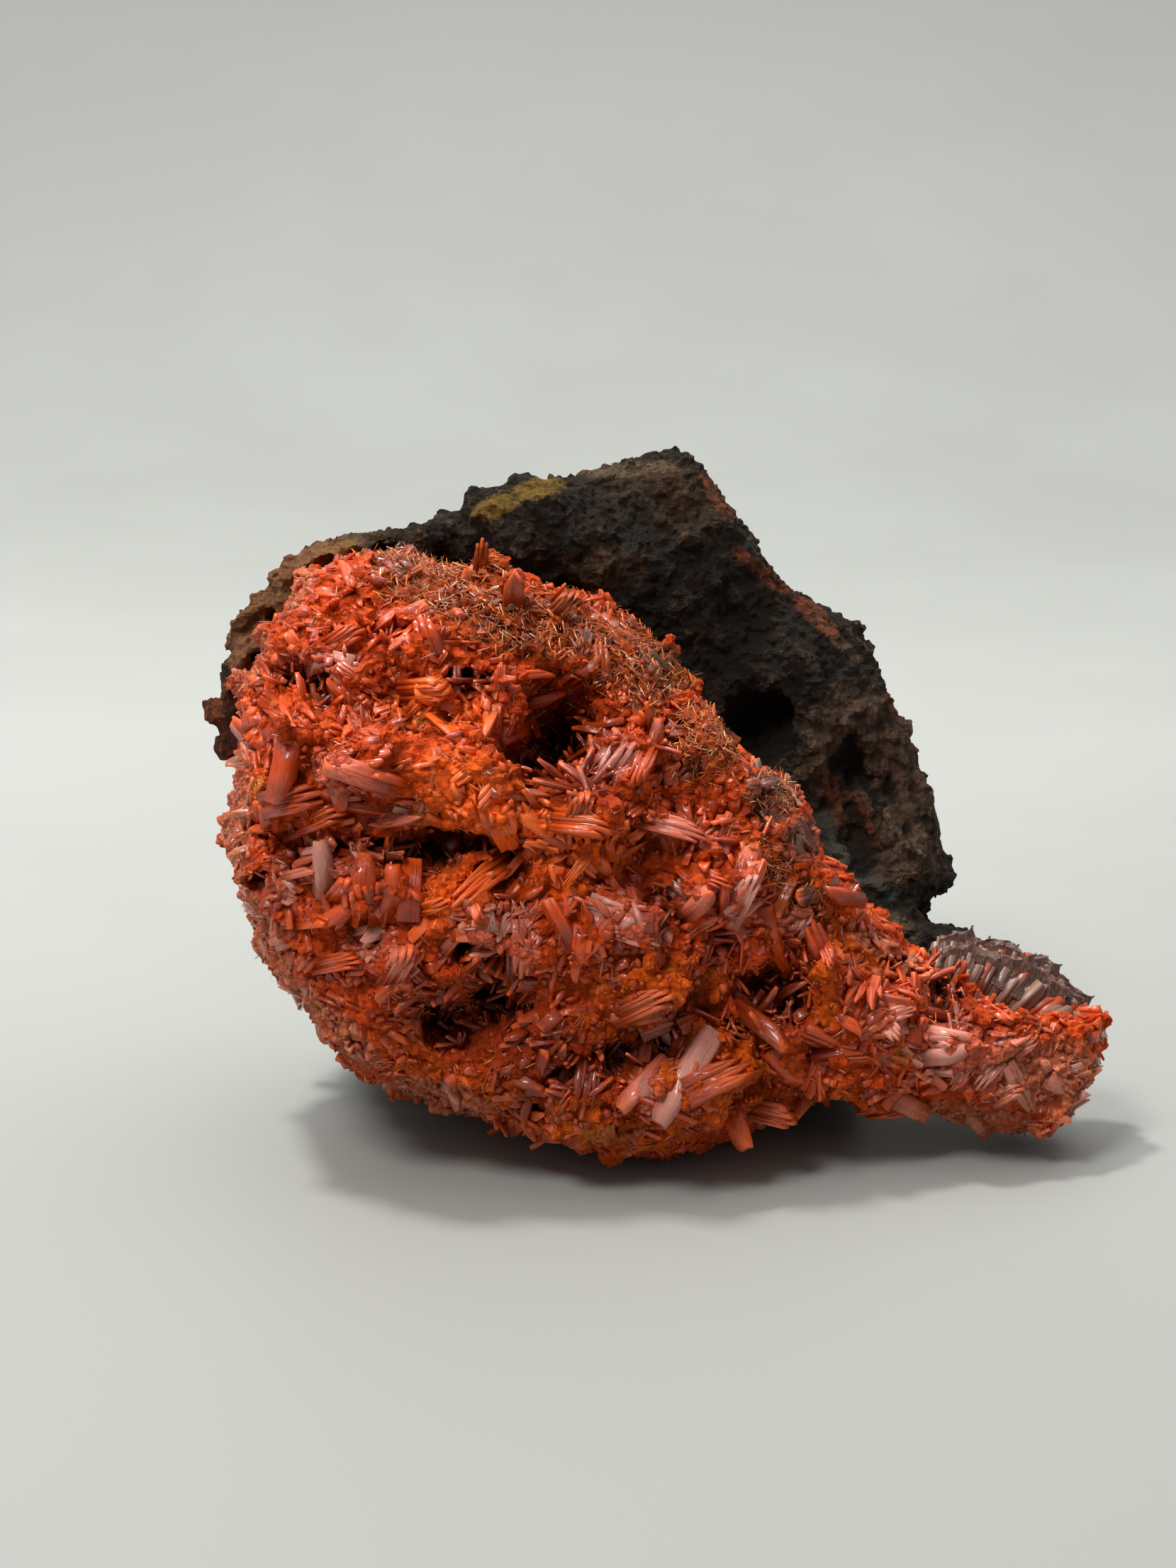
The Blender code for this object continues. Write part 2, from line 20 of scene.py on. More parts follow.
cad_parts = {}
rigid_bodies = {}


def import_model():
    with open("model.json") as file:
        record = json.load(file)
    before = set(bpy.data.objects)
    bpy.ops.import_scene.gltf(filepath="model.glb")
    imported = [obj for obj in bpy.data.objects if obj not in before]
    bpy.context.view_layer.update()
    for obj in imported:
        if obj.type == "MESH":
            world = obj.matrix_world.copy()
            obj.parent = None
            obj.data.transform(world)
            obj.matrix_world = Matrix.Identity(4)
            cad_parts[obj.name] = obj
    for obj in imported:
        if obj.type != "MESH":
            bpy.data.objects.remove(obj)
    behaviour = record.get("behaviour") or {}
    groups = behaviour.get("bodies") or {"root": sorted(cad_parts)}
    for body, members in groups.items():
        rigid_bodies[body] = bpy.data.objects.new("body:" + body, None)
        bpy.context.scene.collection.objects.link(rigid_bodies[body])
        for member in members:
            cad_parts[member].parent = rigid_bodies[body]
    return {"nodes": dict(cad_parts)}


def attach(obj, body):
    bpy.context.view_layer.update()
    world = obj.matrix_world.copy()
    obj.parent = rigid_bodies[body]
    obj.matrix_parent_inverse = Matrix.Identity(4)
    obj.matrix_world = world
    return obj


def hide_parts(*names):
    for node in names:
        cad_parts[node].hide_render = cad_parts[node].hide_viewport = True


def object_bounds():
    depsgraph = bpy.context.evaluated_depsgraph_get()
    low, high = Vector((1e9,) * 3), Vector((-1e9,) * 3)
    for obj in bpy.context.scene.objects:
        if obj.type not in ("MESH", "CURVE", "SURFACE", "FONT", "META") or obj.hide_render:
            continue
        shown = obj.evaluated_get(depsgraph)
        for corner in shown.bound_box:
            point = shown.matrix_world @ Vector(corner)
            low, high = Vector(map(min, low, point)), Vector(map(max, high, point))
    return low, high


MM = 0.001

# The picture plane faces the viewer, who looks down by the tilt. Its origin is the point of contact with
# the table that shows foremost, and REST_CENTRE leads from there to the specimen's own origin.
SPECIMEN_WIDTH = 66.0
SPECIMEN_WIDTH_PIXELS = 1258.0
MM_PER_PIXEL = SPECIMEN_WIDTH / SPECIMEN_WIDTH_PIXELS
PICTURE_PIXELS = (1659, 2212)
ORIGIN_PIXEL = (874.0, 1648.0)
CENTRE_PIXEL = (829.5, 1106.0)
VIEW_TILT = 14.0
VIEW_DISTANCE = 205.0
SENSOR_WIDTH = 36.0
REST_CENTRE = (0.0, 10.0, 0.0)

# Grain of the bodies as they are remade, in millimetres: first coarse, then fine, and smoothed for the
# skin that crystals are sown on and for the overall shape that pockets are measured from
COARSE_GRAIN = 0.5
CRUST_GRAIN = 0.3
ROCK_GRAIN = 0.32
SKIN_GRAIN = 0.8
HULL_GRAIN = 1.2
BODY_TRIANGLES = 190000
MERGE_DISTANCE = 0.01

# Depths below the overall shape over which pockets of the crust and of the rock darken with painted
# shade, and the cells in which depths are measured, in millimetres
HOLLOW_DEPTH = 1.7
SUNK_DEPTH = 1.1
DEPTH_CELL = 0.3

# A point this far behind the first surface on its line of sight still counts as seen
SEEN_MARGIN = 1.5

# An ellipse's share falls off like this cone, cut off at 1 and at 0
ZONE_PEAK = 1.9
ZONE_FALL = 1.3

# Zones of the crust, as soft ellipses in the picture: centre, half sizes and turn in degrees
ZONES = {
    # painted light: brighter orange where ledges are lit from above and light shines through them, over the
    # crystals' own clear orange
    "painted_glow": [
        (700, 1150, 120, 64, 22), (825, 1150, 30, 18, 8), (655, 1240, 85, 30, -42), (620, 1000, 60, 26, 10),
        (840, 1215, 60, 30, -30), (700, 1165, 60, 26, 22),
    ],
    # partly the crystals' own cloudy pink, partly a painted reflection of the bright sky on faces turned
    # towards it
    "milky_and_sheen": [
        (462, 932, 66, 24, 0), (482, 1092, 58, 40, 30), (555, 1150, 66, 20, -8), (445, 1222, 80, 34, 0),
        (382, 1262, 40, 28, 0), (566, 1378, 28, 28, 0), (742, 1350, 24, 42, 0), (890, 1295, 66, 36, 20),
        (985, 1180, 60, 18, 14), (1045, 1275, 26, 62, 14), (1118, 1300, 22, 24, 0), (928, 1425, 52, 26, -28),
        (940, 1515, 42, 70, 28), (1258, 1436, 44, 34, 0), (1400, 1500, 150, 60, 14), (872, 1070, 28, 44, 35),
        (700, 1310, 70, 36, -30), (990, 1270, 40, 30, 0), (520, 1330, 50, 26, 0), (1100, 1588, 42, 20, 0),
    ],
    "powder": [
        (930, 1385, 105, 45, 0), (860, 1445, 60, 30, 0), (1035, 1530, 82, 60, 0), (1158, 1405, 26, 56, 0),
        (880, 1606, 110, 30, 0), (580, 1490, 66, 32, 30), (1180, 1560, 70, 34, 0),
        (1200, 1330, 80, 24, 38), (760, 1570, 140, 50, 14), (1010, 1500, 110, 60, 0),
    ],
    "hair": [
        (600, 815, 84, 50, 20), (750, 880, 130, 50, 12), (890, 935, 80, 56, 40), (990, 1050, 44, 60, -35),
        (1110, 1240, 90, 26, 45), (690, 800, 40, 30, 0), (1092, 1122, 34, 36, 0),
    ],
    "rind": [
        (330, 1150, 26, 190, 0), (372, 1320, 24, 90, -30), (460, 1440, 120, 26, 42), (620, 1545, 90, 20, 14),
        (400, 820, 46, 46, 0), (350, 930, 26, 60, 20), (1490, 1520, 90, 60, 10), (1380, 1580, 130, 22, 10),
        (1255, 1345, 80, 16, 32),
    ],
    "yellow": [
        (445, 784, 42, 12, -8), (366, 1112, 12, 18, 0), (1272, 1486, 12, 14, 0), (860, 1602, 50, 14, 0),
        (590, 1015, 18, 10, 0), (590, 1150, 14, 22, 0), (950, 960, 36, 20, 0),
    ],
    "shade": [
        (800, 1078, 84, 74, 0), (548, 1212, 90, 20, 4), (790, 1500, 90, 56, 0),
        (650, 1440, 70, 40, 20), (1092, 1412, 50, 46, 0), (1338, 1415, 40, 36, 0), (660, 960, 34, 18, 0),
        (700, 1402, 44, 40, 0), (950, 1040, 30, 24, 0),
    ],
    "ashen": [
        (1092, 1122, 40, 42, 0), (930, 928, 30, 20, 0), (1132, 1182, 22, 32, 0), (640, 770, 14, 30, 20),
    ],
    "cavity": [
        (800, 1078, 50, 54, 0), (548, 892, 26, 13, 0), (432, 968, 46, 20, 20), (548, 1207, 74, 17, 4),
        (700, 1402, 36, 46, 0), (624, 1446, 40, 30, 20), (810, 1520, 26, 24, 0), (864, 1502, 27, 22, 0),
        (1020, 1334, 20, 16, 0), (1092, 1412, 44, 40, 0), (1120, 1352, 22, 22, 0), (1158, 1480, 15, 21, 0),
        (1038, 1454, 16, 11, 0), (1338, 1415, 26, 34, 0), (1274, 1376, 32, 18, 0), (650, 1348, 26, 16, 0),
        (362, 1178, 16, 12, 0), (362, 1245, 10, 12, 0), (350, 1070, 12, 14, 0), (740, 1572, 24, 12, 0),
        (950, 1040, 24, 18, 0), (660, 960, 28, 12, 0), (700, 1230, 24, 12, 0), (930, 1470, 26, 10, 0),
    ],
}
CAVITY_DEPTH = 3.1

# Ledges that stand out of the crust: pixel, half sizes across, upright and deep, and turn. The ball that
# they are made from is a little over one unit across, and less by its flats.
SWELL_SCALE = 1.9
SWELL_SINK = 0.2
LEDGES = [
    ((668, 1132), 4.2, 1.7, 1.8, 24), ((762, 1160), 2.6, 1.2, 1.6, 14), ((832, 1150), 1.9, 1.2, 1.7, 0),
    ((648, 1238), 3.4, 1.2, 1.4, -42), ((395, 1118), 2.6, 2.0, 1.4, 10), ((560, 1150), 3.0, 1.2, 1.5, -6),
    ((470, 925), 3.2, 1.0, 1.2, 6), ((600, 1000), 2.2, 1.6, 1.2, 30), ((585, 925), 2.0, 1.2, 1.2, 0),
    ((885, 1285), 3.2, 1.5, 1.2, 18), ((925, 1390), 3.2, 1.7, 1.4, 10), ((990, 1545), 3.4, 1.8, 1.4, -30),
    ((560, 1400), 3.0, 1.2, 1.2, 30), ((1165, 1405), 1.3, 2.4, 1.3, 10), ((1330, 1470), 2.6, 1.3, 1.0, 10),
    ((720, 1490), 2.8, 1.4, 1.2, 30), ((1060, 1190), 2.6, 1.3, 1.2, 40), ((445, 1330), 2.4, 1.4, 1.2, 40),
]

# Swellings of the rock, in the same way: the dome, its shoulder, the wing's ribs and the tan rim
ROCK_SWELLS = [
    ((750, 745), 4.6, 4.0, 3.0, -8), ((690, 728), 2.2, 2.4, 1.8, -30), ((622, 750), 1.3, 1.2, 1.4, -20),
    ((560, 742), 1.6, 0.8, 1.2, -10), ((930, 700), 3.4, 2.6, 1.6, -8), ((1130, 940), 3.2, 1.4, 1.4, 50),
    ((1180, 1130), 0.9, 4.2, 1.0, -12), ((1225, 1160), 0.8, 3.8, 1.0, -16),
    ((1265, 1190), 0.7, 3.0, 0.9, -20), ((425, 812), 2.6, 2.0, 1.4, -35), ((372, 868), 1.8, 2.2, 1.2, 25),
]

# Stains of the rock, as soft ellipses in the same way
ROCK_STAINS = {
    "ochre": [
        (760, 688, 50, 20, -10), (700, 715, 50, 20, -20), (470, 785, 50, 20, -30), (930, 985, 50, 30, 0),
    ],
    "rust": [
        (1010, 700, 16, 50, -35), (1262, 990, 14, 36, -20), (1075, 805, 70, 16, 38),
        (1200, 1150, 80, 30, 60), (1150, 868, 60, 18, 42), (320, 1030, 60, 80, 0),
    ],
    # the band over the block's top is partly its own tan, partly painted light on the top lit from above
    "tan": [
        (880, 662, 90, 14, -4), (1180, 900, 60, 10, 45), (1240, 1290, 60, 16, 20), (480, 770, 60, 24, -20),
    ],
    "rim": [(400, 830, 90, 60, -45), (350, 900, 40, 60, 20), (450, 790, 60, 30, -30)],
    "wing": [(1235, 1110, 100, 150, -20)],
    "brown": [(930, 700, 110, 60, 20), (480, 780, 120, 50, -20), (860, 800, 60, 40, 0)],
    "moss": [(1170, 1180, 60, 30, 60), (930, 960, 60, 40, 0), (1230, 1250, 50, 20, 30)],
}

# The picked blades' roots lie this deep in the crust, upright and along the blade, in millimetres, and
# each is rolled about its length by up to so many radians
PICKED_SINK = 0.3
PICKED_BURIED = 0.8
PICKED_ROLL = 0.35

# Their forms, with the kinds of crystal that stand for each
LATH, PLATE, BLOCK = "lath", "plate", "block"
THICKNESS_BY_WIDTH = {LATH: 0.6, PLATE: 0.4, BLOCK: 0.85}
KINDS_BY_FORM = {
    LATH: ("lath", "lath_chisel", "sheaf"),
    PLATE: ("plate_broken", "bundle", "sheaf"),
    BLOCK: ("bundle", "block_chisel", "sheaf"),
}

# Blades that show one by one: root pixel, tip pixel, width, how far the tip stands out, and form
PICKED_BLADES = [
    ((707, 977), (707, 935), 0.7, 1.2, LATH), ((716, 952), (784, 947), 0.7, 1.2, LATH),
    ((742, 994), (754, 960), 0.5, 0.6, LATH), ((740, 998), (800, 983), 0.9, 1.4, LATH),
    ((799, 1009), (822, 1005), 0.6, 0.6, LATH), ((801, 1054), (813, 1021), 0.6, 0.6, LATH),
    ((827, 1049), (831, 1029), 0.4, 0.5, LATH), ((922, 1053), (900, 1101), 1.2, 1.4, BLOCK),
    ((925, 1052), (936, 1015), 1.1, 1.6, BLOCK), ((855, 1096), (897, 1046), 1.6, 0.8, PLATE),
    ((793, 1161), (860, 1167), 1.8, 1.6, BLOCK), ((813, 1150), (822, 1122), 1.5, 1.6, BLOCK),
    ((843, 1197), (801, 1251), 0.7, 1.5, LATH), ((915, 1167), (894, 1190), 0.6, 1.5, LATH),
    ((740, 1202), (702, 1248), 0.7, 0.9, LATH), ((720, 1214), (640, 1273), 1.6, 1.2, BLOCK),
    ((908, 1158), (998, 1181), 1.4, 1.4, PLATE), ((577, 973), (627, 970), 1.6, 1.2, BLOCK),
    ((703, 993), (683, 1038), 0.7, 1.0, LATH), ((712, 1043), (756, 1026), 1.5, 1.0, BLOCK),
    ((765, 1220), (756, 1248), 0.9, 0.8, BLOCK), ((777, 1211), (782, 1245), 0.6, 0.7, LATH),
    ((813, 1259), (796, 1290), 1.0, 0.8, LATH), ((843, 1282), (928, 1315), 2.7, 1.2, PLATE),
    ((1035, 1297), (1063, 1238), 1.5, 1.6, PLATE), ((1040, 1303), (1074, 1373), 0.9, 1.8, LATH),
    ((945, 1218), (1029, 1244), 1.1, 1.4, LATH), ((1038, 1244), (1080, 1213), 0.9, 1.0, LATH),
    ((1082, 1289), (1103, 1376), 1.4, 1.6, BLOCK), ((1116, 1325), (1141, 1297), 1.3, 1.0, BLOCK),
    ((1162, 1319), (1175, 1359), 0.9, 1.6, LATH), ((1176, 1328), (1189, 1349), 0.6, 1.2, LATH),
    ((1196, 1359), (1204, 1384), 0.6, 1.2, LATH), ((1233, 1373), (1234, 1420), 0.7, 1.6, LATH),
    ((1228, 1376), (1213, 1412), 0.5, 1.3, LATH), ((1235, 1373), (1249, 1401), 0.5, 1.3, LATH),
    ((1251, 1437), (1291, 1420), 1.0, 1.5, PLATE), ((1251, 1448), (1270, 1462), 1.2, 1.3, PLATE),
    ((1290, 1462), (1305, 1384), 1.4, 1.6, BLOCK), ((1088, 1412), (1136, 1381), 0.7, 0.6, LATH),
    ((1043, 1418), (1113, 1471), 1.4, 1.8, LATH), ((1183, 1434), (1217, 1454), 0.9, 1.2, LATH),
    ((984, 1311), (1009, 1297), 0.7, 1.0, LATH), ((970, 1289), (993, 1266), 1.6, 1.2, BLOCK),
    ((544, 1108), (460, 1080), 2.4, 1.6, BLOCK), ((519, 1164), (592, 1153), 0.8, 1.6, PLATE),
    ((454, 1251), (453, 1194), 1.5, 1.6, BLOCK), ((398, 1238), (438, 1228), 0.7, 1.2, LATH),
    ((513, 1257), (520, 1205), 2.2, 1.4, BLOCK), ((547, 1285), (558, 1228), 1.7, 1.5, BLOCK),
    ((509, 1296), (506, 1257), 1.4, 1.6, PLATE), ((457, 1305), (485, 1288), 1.2, 1.4, BLOCK),
    ((415, 1306), (454, 1302), 0.9, 1.2, LATH), ((393, 968), (443, 1006), 0.7, 1.6, LATH),
    ((369, 982), (407, 1021), 1.5, 1.4, PLATE), ((466, 1274), (491, 1243), 1.5, 1.2, PLATE),
    ((453, 1365), (502, 1355), 1.2, 1.2, BLOCK), ((550, 1380), (571, 1344), 1.6, 1.4, BLOCK),
    ((649, 1341), (653, 1380), 0.5, 1.6, LATH), ((665, 1268), (676, 1291), 0.9, 0.9, LATH),
    ((597, 1281), (628, 1274), 0.9, 1.0, BLOCK), ((384, 1134), (452, 1120), 2.4, 1.2, BLOCK),
    ((432, 1164), (477, 1145), 1.5, 1.0, BLOCK), ((739, 1311), (742, 1381), 2.1, 2.0, PLATE),
    ((721, 1345), (721, 1416), 0.9, 1.6, LATH), ((818, 1322), (816, 1360), 1.3, 1.0, BLOCK),
    ((868, 1317), (930, 1338), 0.9, 1.6, PLATE), ((882, 1432), (941, 1404), 1.8, 1.2, BLOCK),
    ((999, 1468), (933, 1581), 2.5, 2.2, BLOCK), ((927, 1502), (874, 1558), 1.4, 1.4, BLOCK),
    ((971, 1567), (992, 1663), 1.1, 1.8, LATH), ((981, 1539), (1076, 1494), 2.8, 1.4, BLOCK),
    ((1062, 1569), (1121, 1583), 1.6, 1.0, BLOCK), ((1037, 1569), (1051, 1618), 1.6, 1.2, BLOCK),
    ((1093, 1491), (1138, 1539), 1.6, 1.4, BLOCK), ((835, 1496), (826, 1575), 2.1, 1.0, BLOCK),
    ((781, 1569), (797, 1546), 1.0, 1.0, BLOCK), ((1316, 1351), (1386, 1408), 0.9, 1.4, LATH),
    ((1386, 1406), (1431, 1434), 0.5, 1.2, LATH), ((1311, 1456), (1366, 1464), 1.2, 1.0, BLOCK),
    ((1318, 1493), (1355, 1490), 1.4, 1.0, BLOCK), ((1288, 1563), (1210, 1577), 1.4, 0.8, BLOCK),
    ((1414, 1551), (1442, 1535), 1.3, 0.8, BLOCK), ((1487, 1529), (1523, 1546), 1.5, 0.8, BLOCK),
    ((1403, 1509), (1380, 1537), 1.0, 0.8, BLOCK), ((1363, 1509), (1346, 1543), 0.9, 0.8, LATH),
    ((1473, 1577), (1509, 1580), 0.9, 0.6, LATH), ((1445, 1479), (1467, 1464), 1.0, 0.8, BLOCK),
    ((675, 804), (679, 761), 1.0, 1.4, PLATE), ((723, 856), (728, 807), 1.7, 1.4, PLATE),
    ((777, 846), (797, 822), 0.4, 1.4, LATH), ((784, 862), (810, 834), 1.3, 1.0, BLOCK),
    ((841, 866), (905, 912), 1.0, 1.2, LATH), ((740, 855), (768, 859), 0.5, 1.0, LATH),
    ((560, 870), (596, 853), 1.3, 1.0, BLOCK), ((470, 905), (505, 880), 1.4, 1.0, BLOCK),
]

# The fan of columns on the arm: tips follow the skyline from the rock side to the arm's end
DRUSE_SKYLINE = [
    (1318, 1326), (1340, 1312), (1366, 1311), (1384, 1323), (1402, 1325), (1425, 1329),
    (1448, 1339), (1468, 1348), (1488, 1360), (1506, 1377), (1520, 1391), (1530, 1402),
]
DRUSE_FOOT = ((1312, 1392), (1492, 1452))
DRUSE_COLUMNS = 420
DRUSE_GRAIN = 0.3
DRUSE_NEAREST = 2.2
DRUSE_SPREAD = 4.6
DRUSE_SLOPE_PIXELS = 34.0
DRUSE_RAGGED_PIXELS = 9.0
DRUSE_COLUMN_WIDTHS = (0.4, 1.2)

# Outlines across the crystals, one unit wide and thick
LATH_OUTLINE = [
    (-0.50, -0.40), (-0.22, -0.50), (-0.17, -0.36), (0.14, -0.42), (0.22, -0.50), (0.50, -0.34),
    (0.45, 0.42), (0.18, 0.50), (0.12, 0.35), (-0.14, 0.50), (-0.28, 0.36), (-0.50, 0.44),
]
BLOCK_OUTLINE = [
    (-0.50, -0.34), (-0.36, -0.50), (0.06, -0.46), (0.12, -0.36), (0.40, -0.50), (0.50, -0.26),
    (0.46, 0.36), (0.30, 0.50), (-0.04, 0.42), (-0.34, 0.50), (-0.50, 0.24),
]
PLATE_OUTLINE = [
    (-0.50, -0.16), (-0.44, -0.50), (-0.10, -0.42), (0.02, -0.50), (0.46, -0.44), (0.50, 0.10),
    (0.42, 0.50), (0.16, 0.38), (-0.16, 0.50), (-0.46, 0.40),
]
SHARD_OUTLINE = [(-0.50, -0.30), (0.10, -0.50), (0.50, -0.10), (0.30, 0.50), (-0.38, 0.42)]
STRIP_OUTLINE = [
    (-0.50, -0.42), (-0.08, -0.50), (0.02, -0.40), (0.50, -0.46), (0.50, 0.44), (0.10, 0.50),
    (0.0, 0.40), (-0.50, 0.48),
]
SLIVER_OUTLINE = [(-0.50, -0.30), (0.30, -0.50), (0.50, 0.30), (-0.30, 0.50)]
HAIR_OUTLINE = [(-0.5, -0.3), (0.5, -0.3), (0.0, 0.5)]

# Blades: outline, slanting cuts at the tip by height and lean, and the width that is left there
BLADE_SHAPES = {
    "lath": (LATH_OUTLINE, [(0.93, 0.45, 0.1)], 0.94),
    "lath_chisel": (LATH_OUTLINE, [(0.97, 0.5, 0.5), (0.97, -0.6, 0.2)], 0.94),
    "block": (BLOCK_OUTLINE, [(0.95, 0.25, 0.3)], 0.94),
    "block_chisel": (BLOCK_OUTLINE, [(0.92, -0.5, 0.4), (1.0, 0.6, 0.7)], 0.94),
    "plate": (PLATE_OUTLINE, [(0.96, 0.3, 0.1)], 0.94),
    "plate_broken": (PLATE_OUTLINE, [(0.9, -0.55, 0.2), (1.05, 0.9, 0.0)], 0.94),
    "shard": (SHARD_OUTLINE, [(0.9, -0.5, 0.3), (0.95, 0.5, 0.5)], 0.85),
    "shard_flat": (SHARD_OUTLINE, [(0.85, 0.35, -0.4)], 1.0),
    "sliver": (SLIVER_OUTLINE, [(0.92, 0.5, 0.3)], 0.8),
    "hair": (HAIR_OUTLINE, [], 0.35),
    "strip": (STRIP_OUTLINE, [(0.97, 0.3, 0.25)], 1.0),
    "strip_chisel": (STRIP_OUTLINE, [(0.95, 0.5, 0.5), (0.95, -0.6, 0.2)], 1.0),
}

# Strips grown side by side: which strip, then place across and through, width and length of each
STRIP_THICKNESS = 0.9
SHEAF_SHAPES = {
    "sheaf": ("strip", [
        (-0.38, 0.03, 0.30, 0.88), (-0.13, -0.06, 0.32, 1.0), (0.12, 0.07, 0.30, 0.95),
        (0.37, -0.02, 0.32, 0.84),
    ]),
    "bundle": ("strip_chisel", [
        (-0.33, 0.05, 0.42, 0.92), (0.02, -0.06, 0.42, 1.0), (0.34, 0.03, 0.38, 0.86),
    ]),
}

# Broken grains and lumps: the flats of a ball, by direction and distance from its middle
BALL_RADIUS = 0.62
LUMP_SHAPES = {
    "crumb": [((0.3, 0.2, 1.0), 0.32), ((1.0, -0.3, -0.2), 0.34), ((-0.5, -1.0, 0.1), 0.4)],
    "crumb_flat": [((0.0, 0.1, 1.0), 0.2), ((-1.0, 0.4, 0.3), 0.3)],
    "boulder": [
        ((0.3, 0.2, 1.0), 0.36), ((1.0, -0.3, -0.2), 0.32), ((-0.5, -1.0, 0.1), 0.30),
        ((-0.8, 0.6, -0.3), 0.34), ((0.2, 1.0, 0.5), 0.38),
    ],
    "boulder_long": [
        ((1.0, 0.1, 0.1), 0.24), ((-1.0, 0.2, 0.0), 0.26), ((0.1, 1.0, 0.3), 0.34),
        ((0.0, -1.0, 0.4), 0.30), ((0.4, 0.3, 1.0), 0.5),
    ],
    "knoll": [((0.2, 0.1, 1.0), 0.52)],
}

# Sprays of blades: how many blades, how many to a spray, widths, lengths as multiples of the width, rise
# from the skin in degrees, sinking in widths, how far they may stand out, and kinds with thickness
LARGE_BLADES = (800, 2, (0.8, 2.0), (1.3, 2.8), (-8.0, 28.0), 0.4, 0.9, [
    ("bundle", 0.6), ("block_chisel", 0.7), ("bundle", 0.4), ("plate_broken", 0.4), ("sheaf", 0.5),
])
MEDIUM_BLADES = (1700, 4, (0.4, 1.0), (2.0, 5.0), (-8.0, 32.0), 0.4, 0.7, [
    ("lath", 0.6), ("block", 0.5), ("block", 0.8), ("plate", 0.35), ("plate_broken", 0.4),
])
SHARDS = (3600, 3, (0.25, 1.1), (0.8, 1.8), (-25.0, 45.0), 0.45, 0.4, [
    ("shard_flat", 0.7), ("shard_flat", 0.9), ("shard", 0.5),
])
SMALL_BLADES = (2400, 4, (0.14, 0.4), (3.0, 8.0), (-8.0, 32.0), 0.3, 0.5, [
    ("sliver", 0.7), ("lath", 0.6), ("sliver", 0.4),
])
DEEP_BLADES = (900, 3, (0.25, 0.8), (3.0, 6.5), (5.0, 60.0), 0.2, 2.6, [("lath", 0.5), ("sliver", 0.6)])

# Blades of a spray: scatter of direction, spread in widths, roll, how much of the length is buried, and
# the share of it that may stand no more than the foot limit out of the skin. Large ones are few.
SPRAY_SCATTER = 0.17
SPRAY_SPREAD = 1.2
ROLL_SCATTER = 0.5
BURIED_SHARE = 0.4
FOOT_SHARE = 0.15
FOOT_LIMIT = 0.1
FEW_LARGE = 1.6

# Lumps: how many, sizes, how high their middles lie in sizes, and kinds. Large ones are few.
FEW_LARGE_LUMPS = 1.7
ROCK_NODULES = (700, (1.2, 3.0), (-0.6, -0.35), ["crumb", "crumb_flat"])
ROCK_GRAINS = (5200, (0.7, 1.6), (-0.45, 0.0), ["crumb", "crumb_flat"])
CRUST_BOULDERS = (640, (1.8, 4.4), (-0.55, -0.25), ["boulder", "boulder_long"])
CRUST_COBBLES = (2000, (0.8, 1.9), (-0.5, -0.05), ["boulder", "boulder_long", "block"])
CRUMBS = (4600, (0.15, 0.6), (-0.25, 0.3), ["crumb", "crumb_flat"])

# Needles: how many, lengths and widths
FINE_NEEDLES = (9000, (0.5, 1.5), (0.04, 0.09))
STOUT_NEEDLES = (2000, (0.7, 1.9), (0.10, 0.26))

# Where crystals may grow, in millimetres: how high tips and roots stay over the table, how high the skin
# lies that they are sown on, how far it is from the rock, and by what share they may pass the solid's box
TIP_CLEARANCE = 0.1
ROOT_CLEARANCE = -0.3
SOWING_HEIGHT = 0.7
ROCK_MARGIN = 0.5
BOX_SPARE = 0.02

# Crystals share their patterns in the material unless each one's is set apart by its tone
TONE_SHIFT = 97.0

# Colours
RED_ORANGE = (0.72, 0.084, 0.009)
# bright orange: own colour on needles and patches by tone; painted light in the painted_glow zone and at
# blade tips
GLOW_ORANGE = (1.0, 0.145, 0.014)
# deep red: the crystals' own darker tone, also laid as painted shade towards blade roots and in the crust's
# cell valleys
DEEP_RED = (0.26, 0.020, 0.003)
# painted shade: near-black red laid in pockets, towards needle roots and in gaps of the needle mat
HOLLOW_SHADE_RED = (0.055, 0.005, 0.001)
# pinkish-white: partly the crystals' dusty colour, partly a painted sheen of the sky on their faces
DUSTY_PINK_SHEEN = (0.74, 0.23, 0.15)
# painted reflection: lilac-white sky mirrored in glossy faces
LILAC_REFLECTION = (0.60, 0.27, 0.21)
ASH_GREY = (0.10, 0.085, 0.06)
POWDER_ORANGE = (0.66, 0.105, 0.004)
OCHRE_YELLOW = (0.46, 0.22, 0.02)
NEEDLE_BROWN = (0.22, 0.056, 0.007)
NEEDLE_GOLD = (0.64, 0.25, 0.05)
NEEDLE_GLINT = (0.92, 0.68, 0.46)
RIND_TAN = (0.66, 0.27, 0.15)
RIND_BROWN = (0.40, 0.115, 0.048)
ROCK_BLACK = (0.006, 0.0042, 0.003)
ROCK_BROWN = (0.075, 0.034, 0.013)
ROCK_TAN = (0.22, 0.14, 0.075)
ROCK_OCHRE = (0.34, 0.19, 0.02)
ROCK_RUST = (0.30, 0.06, 0.015)
RIM_TAN = (0.38, 0.15, 0.055)
WING_BROWN = (0.155, 0.085, 0.05)
MOSS_GREY = (0.045, 0.055, 0.045)
SHADE_RED = (0.15, 0.014, 0.002)
DRUSE_GREY = (0.30, 0.165, 0.115)
DRUSE_DARK = (0.055, 0.022, 0.015)
TABLE_FAR = (0.445, 0.452, 0.424)
TABLE_FAR_PATCH = (0.47, 0.478, 0.448)
